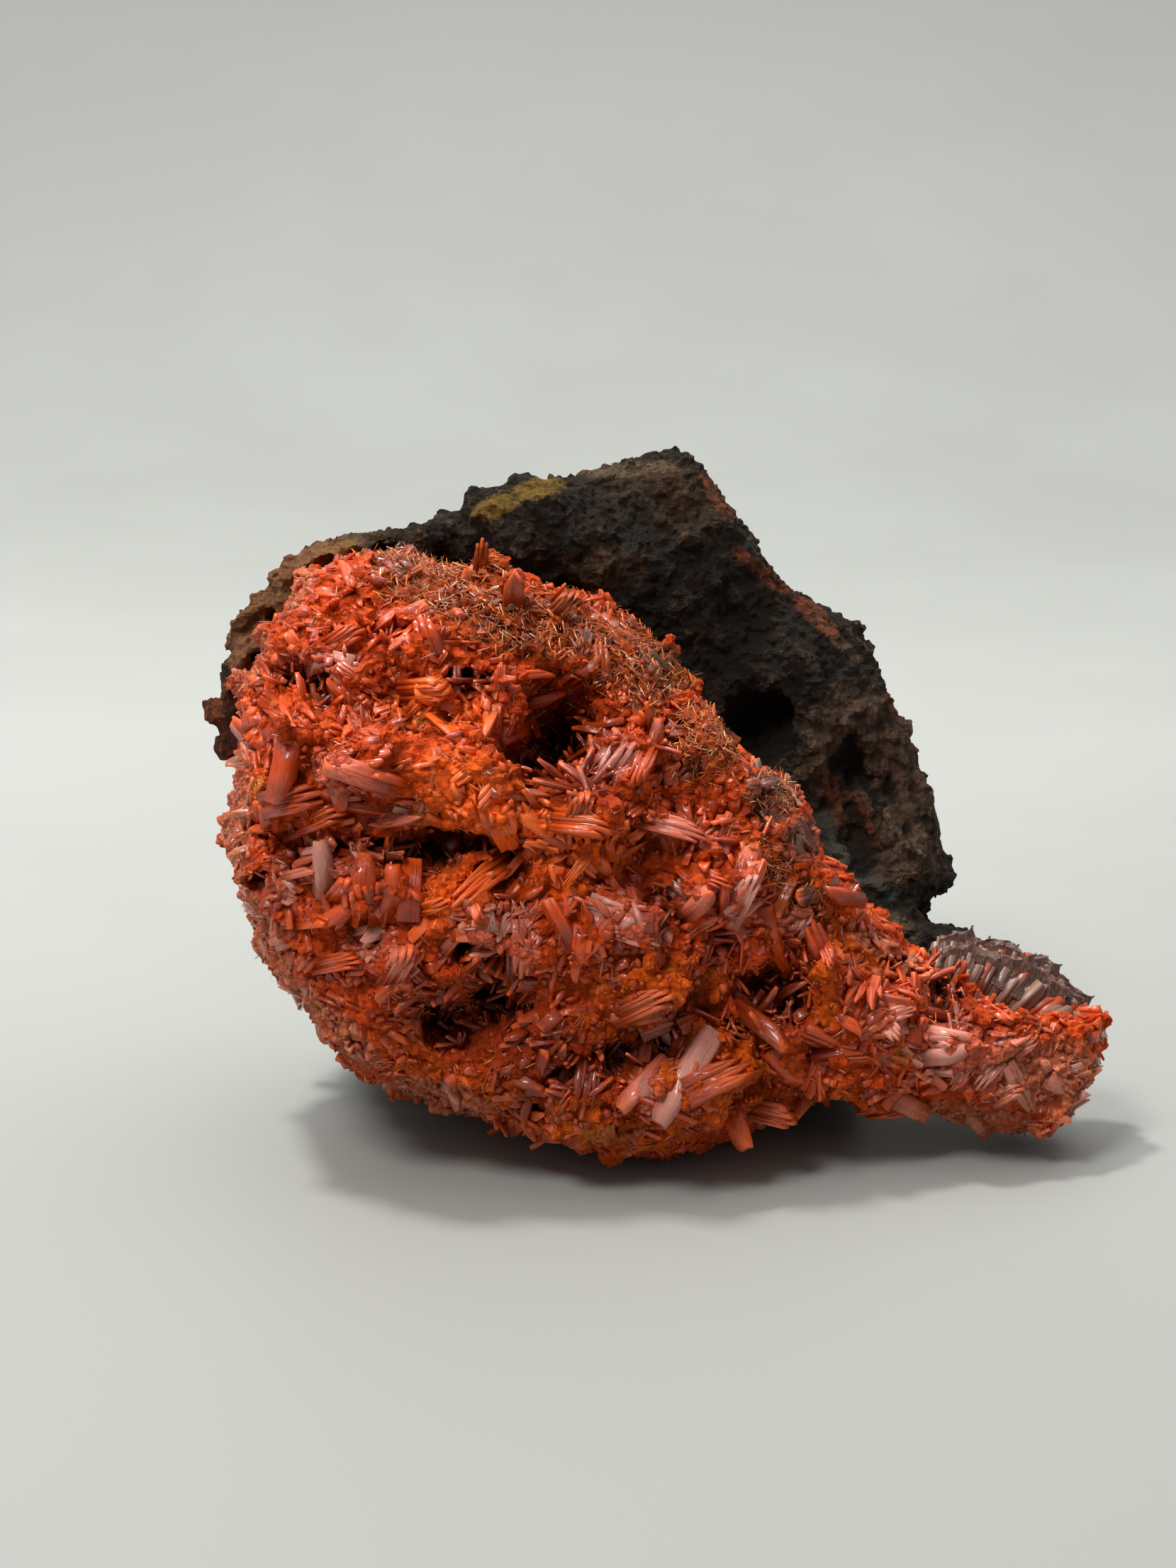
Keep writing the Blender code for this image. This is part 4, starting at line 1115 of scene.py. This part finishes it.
def crust_material():
    """The grown-together crust between the blades: granular and powdery, with painted shade in its pockets
    and in the valleys of its bumped cells.
    """
    s = material_shader("crocoite_crust_ground")
    place = s.place()
    cloud = s.noise(place, per_mm(0.16), 3.0)
    patch = s.noise(place, per_mm(0.55), 3.0, 0.65)
    fleck = s.noise(place, per_mm(2.4), 4.0, 0.75)
    fibres = s.noise(s.stretched(place, (1.0, 0.4, 2.2)), per_mm(1.4), 3.0)
    cells = s.cells(place, per_mm(1.8))
    colour = crocoite_colour(s, fibres, patch, fleck, cloud, patch, 0.9)
    # painted shade: deeper red in the valleys of the bumped cells
    colour = s.mixed(colour, DEEP_RED, cells.between(0.25, 0.6) * 0.5)
    # painted shade in pockets of the crust
    colour = s.mixed(colour, HOLLOW_SHADE_RED, *s.numbers("hollow_shade"))
    normal = s.bump(cells * -0.8 + fleck * 1.4 + fibres * 0.6, 0.2)
    return s.finish(
        colour, 0.3 + fleck * 0.4, normal,
        IOR=1.45, Specular_IOR_Level=0.25, Specular_Tint=(1.0, 0.6, 0.4, 1.0),
        Subsurface_Weight=0.2, Subsurface_Radius=RED_LIGHT_REACH, Subsurface_Scale=0.6 * MM,
    )


def needle_material():
    """Hair-fine needles, golden brown, with painted bright glints and painted shade at the roots and in
    pockets.
    """
    s = material_shader("golden_needles")
    tone, reach, hollow_shade = s.numbers("tone", "reach", "hollow_shade")
    colour = s.layered(NEEDLE_BROWN, [
        (GLOW_ORANGE, tone, 0.1, 0.7, 0.8),
        (NEEDLE_GOLD, tone, 0.5, 0.85, 0.9),
        # painted highlight: near-white glints on a few needles
        (NEEDLE_GLINT, tone, 0.92, 0.97, 0.8),
    ])
    # painted shade: darker towards each needle's root and in pockets
    colour = s.mixed(colour, HOLLOW_SHADE_RED, reach.between(0.8, 0.1) * 0.55 + hollow_shade)
    normal = s.bump(s.noise(s.place(), per_mm(6.0), 2.0), 0.02, 0.5)
    return s.finish(colour, 0.08 + tone * 0.12, normal, IOR=1.8)


def rock_material():
    """Earthy gossan, black to brown, stained ochre, rust and tan where the picture shows it, with painted
    shade in its pits.
    """
    s = material_shader("gossan")
    place = s.place()
    ochre, rust, tan, brown, moss = s.numbers("ochre", "rust", "tan", "brown", "moss")
    rim, wing, sunk, hidden = s.numbers("rim", "wing", "sunk", "hidden")
    cloud = s.noise(place, per_mm(0.15), 4.0, 0.6)
    patch = s.noise(place, per_mm(0.6), 4.0, 0.7)
    fleck = s.noise(place, per_mm(2.6), 5.0, 0.75)
    ribs = s.noise(s.stretched(place, (1.0, 1.0, 0.22)), per_mm(1.1), 3.0)
    pores = s.cells(place, per_mm(1.5))
    colour = s.layered(ROCK_BLACK, [
        (ROCK_BROWN, patch * 0.9 + fleck * 0.8 + cloud * 0.2, 0.95, 1.2, 0.8),
        (ROCK_BROWN, brown * 0.35 + hidden * 0.35 + patch * 0.5 + fleck * 0.9, 0.9, 1.15, 0.85),
        (ROCK_TAN, hidden * 0.25 + cloud + fleck * 0.4, 0.86, 1.05, 0.5),
        (WING_BROWN, wing * 0.4 + patch * 0.4 + fleck * 0.5, 0.6, 0.9, 0.9),
        (ROCK_BLACK, wing * 0.6 - ribs, 0.02, 0.2, 0.75),
        # fewer tan flecks in the pits, as painted shade
        (ROCK_TAN, fleck + patch * 0.4 - sunk * 0.3, 0.74, 0.86, 0.35),
        (MOSS_GREY, moss * 0.6 + patch * 0.5, 0.55, 0.95, 0.7),
        (ROCK_TAN, tan * 0.55 + fleck * 0.6 + patch * 0.3, 0.80, 1.15, 0.7),
        (ROCK_OCHRE, ochre * 0.6 + fleck * 0.5 + patch * 0.3, 0.85, 1.1, 0.75),
        (ROCK_RUST, rust * 0.55 + fleck * 0.5 + patch * 0.4, 0.85, 1.15, 0.8),
        (RIM_TAN, rim * 0.6 + fleck * 0.5, 0.6, 1.0, 0.8),
        # painted shade: black in the rock's pits
        (ROCK_BLACK, sunk + fleck * 0.3 - wing * 0.15, 0.65, 1.0, 0.9),
    ])
    roughness = 0.32 + (fleck + patch * 0.5).between(0.45, 0.8) * 0.6
    normal = s.bump(pores * -1.1 + fleck * 2.0 + patch, 0.36)
    return s.finish(
        colour, roughness, normal, IOR=1.5, Specular_IOR_Level=0.35, Specular_Tint=(1.0, 0.86, 0.72, 1.0)
    )


def druse_material():
    """Glassy grey-brown columns."""
    s = material_shader("druse_columns")
    tone, = s.numbers("tone")
    streaks = s.noise(s.stretched(s.vector("grain"), (10.0, 10.0, 0.6)), 1.0, 2.0)
    colour = s.mixed(DRUSE_DARK, DRUSE_GREY, (streaks * 0.7 + tone * 0.6).between(0.45, 1.0))
    colour = s.mixed(colour, RED_ORANGE, (1.0 - tone).between(0.7, 0.95) * 0.5)
    return s.finish(colour, 0.2 + streaks * 0.3, s.bump(streaks, 0.04, 0.6), IOR=1.5)


# The pieces of the specimen


def adopt(obj, material, slot, *nodes):
    """Gives a piece its material and its body, and hides the solids that it stands for."""
    obj.data.materials.clear()
    obj.data.materials.append(material)
    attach(obj, "root")
    if nodes:
        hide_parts(*nodes)


def thin_out(obj, triangles):
    """Fewer, larger triangles, down to this many."""
    obj.data.calc_loop_triangles()
    share = triangles / len(obj.data.loop_triangles)
    if share < 1.0:
        modifier = obj.modifiers.new("thin", "DECIMATE")
        modifier.ratio = share
        apply_modifiers(obj)


def add_lumps(obj, thicket, kinds, grain):
    """Grows lumps together with a body."""
    return remesh(joined(obj, thicket.grown("lumps", kinds)), grain)


def seen_share(points, tree, fade):
    """1 for points that the viewer sees, falling to 0 over this many millimetres behind them."""
    share = np.ones(len(points))
    for number, point in enumerate(points):
        to_point = Vector(point) - EYE
        distance = tree.ray_cast(EYE, to_point.normalized())[3]
        if distance is not None:
            share[number] = 1.0 + (SEEN_MARGIN - (to_point.length - distance) / MM) / fade
    return np.clip(share, 0.0, 1.0)


def carve(obj, zone, depth):
    """Sinks a zone of the surface away from the viewer."""
    points = coordinates(obj)
    share = within(pixels_of(points), ZONES[zone])
    near = share > 0.0
    share[near] *= seen_share(points[near], tree_of(obj), 0.5)
    weigh(obj, zone, share)
    displace(obj, depth, direction="Y", mid_level=0.0, vertex_group=zone)
    obj.vertex_groups.clear()


def grow_swells(lumps, kind, places, tree):
    """Broad swellings where the picture shows them, each found along its line of sight."""
    for pixel, across, upright, deep, turn in places:
        hit = tree.ray_cast(EYE, sight(pixel))[0]
        if hit is None:
            continue
        lying = Matrix.Rotation(math.radians(turn), 3, AWAY)
        axes = np.array(Matrix((lying @ RIGHT, -AWAY, lying @ UP)).transposed())
        size = np.array((across, deep, upright)) * SWELL_SCALE * MM
        lumps.place(kind, [np.array(hit) + np.array(AWAY) * SWELL_SINK * deep * MM], [axes], [size], [0.5])


def make_rock(kinds, dice):
    """The rock's body: the solid with nodules and grains grown onto it, pitted and stained."""
    rough = shrink(remesh(merged_copy("gossan_matrix", "gossan_rock"), COARSE_GRAIN), 0.45)
    ground = Ground(rough)
    nodules = Thicket()
    grow_swells(nodules, "knoll", ROCK_SWELLS, ground.tree)
    sow_lumps(nodules, ground, dice, ROCK_NODULES)
    sow_lumps(nodules, ground, dice, ROCK_GRAINS)
    rock = add_lumps(rough, nodules, kinds, ROCK_GRAIN)
    relief(rock, "CLOUDS", height=0.9, grain=1.6)
    relief(rock, "VORONOI", height=-0.45, grain=0.8, middle=0.3)
    relief(rock, "CLOUDS", height=0.3, grain=0.4)
    rest_on_table(rock)
    thin_out(rock, BODY_TRIANGLES)
    points = coordinates(rock)
    front = seen_share(points, tree_of(rock), 5.0)
    for stain, ellipses in ROCK_STAINS.items():
        paint(rock, stain, within(pixels_of(points), ellipses) * front)
    paint(rock, "hidden", 1.0 - front)
    # painted shade: how deep each point lies in the rock's pits
    paint(rock, "sunk", np.clip(depth_finder(rock)(points) / SUNK_DEPTH + 0.5, 0.0, 1.0))
    return rock


def make_crust(kinds, rock_tree, dice):
    """The crust's body: the solid with lumps grown onto it, carved where cavities open."""
    crust = shrink(remesh(merged_copy("crocoite_crust", "crocoite_ground"), COARSE_GRAIN), 0.5)
    ground = Ground(crust, rock_tree)
    rind, cavity = ground.zones["rind"], ground.zones["cavity"]
    front = np.clip(ground.facing + 0.6, 0.25, 1.0)
    high = np.clip(ground.heights / 4.0 - 1.0, 0.0, 1.0)
    lumps = Thicket()
    boulders = front * ((1.0 - rind * 0.8) * (1.0 - cavity * 0.9) * high)
    sow_lumps(lumps, ground, dice, CRUST_BOULDERS, boulders)
    sow_lumps(lumps, ground, dice, CRUST_COBBLES, front * (1.0 - rind * 0.7) * (0.2 + high))
    grow_swells(lumps, "boulder", LEDGES, ground.tree)
    crust = add_lumps(crust, lumps, kinds, CRUST_GRAIN)
    carve(crust, "cavity", CAVITY_DEPTH)
    remesh(crust, CRUST_GRAIN)
    relief(crust, "VORONOI", height=-1.1, grain=1.1, middle=0.3, metric="CHEBYCHEV")
    relief(crust, "VORONOI", height=-0.55, grain=0.45, metric="CHEBYCHEV")
    rest_on_table(crust)
    thin_out(drop_loose(crust), BODY_TRIANGLES)
    return crust


def depth_finder(body):
    """A function that tells how many millimetres points lie below the body's overall shape."""
    hull = new_object("hull", body.data.copy())
    tree = tree_of(remesh(hull, HULL_GRAIN, 30))
    bpy.data.objects.remove(hull)
    size = DEPTH_CELL * MM

    def depths(points):
        """Below zero for points that stand out of the overall shape."""
        cells, places = np.unique(np.round(points / size).astype(int), axis=0, return_inverse=True)
        found = np.array([-height_over(tree, cell) for cell in cells * size])
        return found[places.ravel()] / MM

    return depths


def make_druse(kinds, dice):
    """A fan of fine columns whose tips follow the skyline."""
    thicket = Thicket()
    place, row = dice.random(DRUSE_COLUMNS), dice.random(DRUSE_COLUMNS)
    skyline = np.array(DRUSE_SKYLINE, float)
    steps = np.linspace(0.0, 1.0, len(skyline))
    tips = np.stack([np.interp(place, steps, skyline[:, axis]) for axis in (0, 1)], axis=-1)
    tips[:, 1] += (1.0 - row) * DRUSE_SLOPE_PIXELS + dice.uniform(0.0, DRUSE_RAGGED_PIXELS, DRUSE_COLUMNS)
    feet = np.array(DRUSE_FOOT[0]) + np.outer(place, np.subtract(DRUSE_FOOT[1], DRUSE_FOOT[0]))
    for number in range(DRUSE_COLUMNS):
        depth = DRUSE_NEAREST + row[number] * DRUSE_SPREAD
        root, tip = (np.array(seen(pixels[number], depth)) for pixels in (feet, tips))
        width = dice.uniform(*DRUSE_COLUMN_WIDTHS) * MM
        size = [(width, width * dice.uniform(0.6, 1.0), np.linalg.norm(tip - root))]
        axes = axes_along(unit((tip - root)[None]), None, dice)
        thicket.add("lath" if number % 3 else "block", root[None], axes, size, [dice.random()])
    fan = thicket.grown("druse_fan", kinds, lambda points: np.zeros(len(points)))
    core = shrink(remesh(merged_copy("column_druse", "druse_core"), DRUSE_GRAIN), DRUSE_GRAIN)
    paint(core, "tone", np.full(len(core.data.vertices), 0.4))
    paint_vectors(core, "grain", coordinates(core) / MM)
    return joined(fan, core)


def make_blades(kinds, ground, body, hollow_shading, dice):
    """The crystals of the crust, in a few joined pieces."""
    zones = ground.zones
    facing = np.clip(ground.facing + 0.75, 0.2, 1.0)
    hair = zones["hair"] * (ground.facing > -0.3)
    calm = (1.0 - hair * 0.55) * (1.0 - zones["rind"] * 0.85) * (1.0 - zones["powder"] * 0.6)
    stout = facing * calm * (1.0 - zones["cavity"] * 0.9)
    bare = facing * (1.0 - zones["cavity"] * 0.8) * (1.0 - zones["rind"] * 0.9)
    open_skin = facing * (1.0 - zones["rind"] * 0.95)
    deep = zones["cavity"] * (ground.facing > 0.0)
    sowings = {
        "stout_blades": [(LARGE_BLADES, stout), (MEDIUM_BLADES, stout + 0.03)],
        "crocoite_shards": [(SHARDS, bare)],
        "slender_blades": [(SMALL_BLADES, open_skin + hair), (DEEP_BLADES, deep)],
    }
    picked = Thicket(body)
    picked_blades(picked, ground.tree, dice)
    pieces = [picked.grown("picked_blades", kinds, hollow_shading)]
    for name, sprays_and_densities in sowings.items():
        thicket = Thicket(body)
        for sprays, density in sprays_and_densities:
            sow_blades(thicket, ground, dice, sprays, density)
        pieces.append(thicket.grown(name, kinds, hollow_shading))

    crumbs = Thicket(body)
    sow_lumps(crumbs, ground, dice, CRUMBS, facing * (0.25 + zones["powder"] * 1.2 + zones["rind"] * 0.8))
    pieces.append(crumbs.grown("crocoite_crumbs", kinds, hollow_shading))
    return pieces


def make_needles(kinds, ground, body, hollow_shading, dice):
    thicket = Thicket(body)
    hair = (ground.zones["hair"] * (ground.facing > -0.3)) ** 2
    sow_needles(thicket, ground, dice, FINE_NEEDLES, hair + 0.01)
    sow_needles(thicket, ground, dice, STOUT_NEEDLES, hair + 0.03)
    return thicket.grown("golden_needles", kinds, hollow_shading)


def make_stage():
    """A pale table that sweeps up into a backdrop, with painted shade darkening it towards the front and up
    the backdrop.
    """
    bpy.ops.mesh.primitive_plane_add(size=1.0)
    floor = bpy.context.object
    floor.name = "pale_table"
    floor.data.transform(Matrix.Translation(TABLE_MIDDLE) @ Matrix.Diagonal(TABLE_SIZE))
    in_edit_mode(floor, lambda edge: all(v.co.y > TABLE_BACK for v in edge.verts), "EDGE")
    bpy.ops.mesh.extrude_region_move(TRANSFORM_OT_translate={"value": BACKDROP_RISE})
    bpy.ops.object.mode_set(mode="OBJECT")
    in_edit_mode(floor, lambda edge: all(v.co.y > TABLE_BACK and v.co.z < MM for v in edge.verts), "EDGE")
    bpy.ops.mesh.bevel(offset=SWEEP, offset_type="OFFSET", segments=16, affect="EDGES")
    bpy.ops.object.mode_set(mode="OBJECT")
    alone(floor)
    bpy.ops.object.shade_smooth()
    s = material_shader("pale_table")
    depth, height = (s.node("ShaderNodeSeparateXYZ", None, {0: s.place()}, axis) for axis in "YZ")
    mottle = s.noise(s.place(), 9.0, 3.0)
    colour = s.mixed(TABLE_FAR, TABLE_FAR_PATCH, mottle.between(0.4, 0.6))
    # painted shade: darker towards the front of the table and up the backdrop
    colour = s.mixed(TABLE_NEAR_SHADE, colour, depth.between(-0.10, 0.20))
    colour = s.mixed(colour, BACKDROP_SHADE, height.between(0.0, 0.16))
    floor.data.materials.append(s.finish(colour, 0.5, s.bump(s.noise(s.place(), 900.0, 2.0), 0.05, 0.1)))


def make_sky():
    """A soft white sky, brighter from above and behind."""
    world = bpy.data.worlds.new("studio")
    bpy.context.scene.world = world
    s = Shader(world)
    sockets = {0: s.node("ShaderNodeTexCoord", output="Generated"), 1: BRIGHT_SIDE}
    rise = s.node("ShaderNodeVectorMath", {"operation": "DOT_PRODUCT"}, sockets, "Value")
    sockets = {0: rise, 1: -0.5, 2: 0.9, 3: SKY_DIMMEST, 4: SKY_BRIGHTEST}
    light = s.node("ShaderNodeMapRange", {"interpolation_type": "SMOOTHSTEP"}, sockets)
    s.feed(s.tree.nodes["Background"].inputs["Strength"], light)
    s.feed(s.tree.nodes["Background"].inputs["Color"], SKY_WHITE)


def make_lamps():
    for name, place, size, power in LAMPS:
        light = bpy.data.lights.new(name, "AREA")
        light.size = size
        light.energy = power
        lamp = new_object(name, light)
        lamp.location = place
        lamp.rotation_euler = (Vector(LAMP_AIM) - lamp.location).to_track_quat("-Z", "Y").to_euler()
    bpy.context.scene.view_settings.view_transform = "Standard"


def make_camera():
    """At the viewer's eye; the picture's upright side takes the sensor's long side."""
    camera = bpy.data.cameras.new("camera")
    camera.sensor_width = SENSOR_WIDTH
    camera.lens = SENSOR_WIDTH * VIEW_DISTANCE / (PICTURE_PIXELS[1] * MM_PER_PIXEL)
    camera.clip_start = 0.01
    obj = new_object("camera", camera)
    obj.location = EYE
    obj.rotation_euler = AWAY.to_track_quat("-Z", "Y").to_euler()
    bpy.context.scene.camera = obj


def main():
    dice = np.random.default_rng(11)
    make_stage()
    make_sky()
    make_lamps()
    make_camera()

    kinds = crystal_kinds()
    rock = make_rock(kinds, dice)
    rock_tree = tree_of(rock)
    crust = make_crust(kinds, rock_tree, dice)
    skin = remesh(new_object("skin", crust.data.copy()), SKIN_GRAIN, 2)
    ground = Ground(skin, rock_tree)
    depths = depth_finder(crust)

    def hollow_shading(points):
        """Share of painted shade: 0 on the overall shape or outside it, 1 well below it."""
        return np.clip(depths(points) / HOLLOW_DEPTH - 0.12, 0.0, 1.0)

    points = coordinates(crust)
    paint_zones(crust, pixels_of(points))
    paint(crust, "hollow_shade", hollow_shading(points))

    body = tree_of(crust)
    blades = make_blades(kinds, ground, body, hollow_shading, dice)
    needles = make_needles(kinds, ground, body, hollow_shading, dice)
    druse = make_druse(kinds, dice)
    for helper in [skin, *kinds.values()]:
        bpy.data.objects.remove(helper)

    adopt(rock, rock_material(), "gossan", "gossan_matrix")
    adopt(crust, crust_material(), "crocoite", "crocoite_crust")
    crystal = blade_material()
    for piece in blades:
        adopt(piece, crystal, "crocoite")
    adopt(needles, needle_material(), "crocoite")
    adopt(druse, druse_material(), "druse", "column_druse")


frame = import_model()
cad_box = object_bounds()
main()
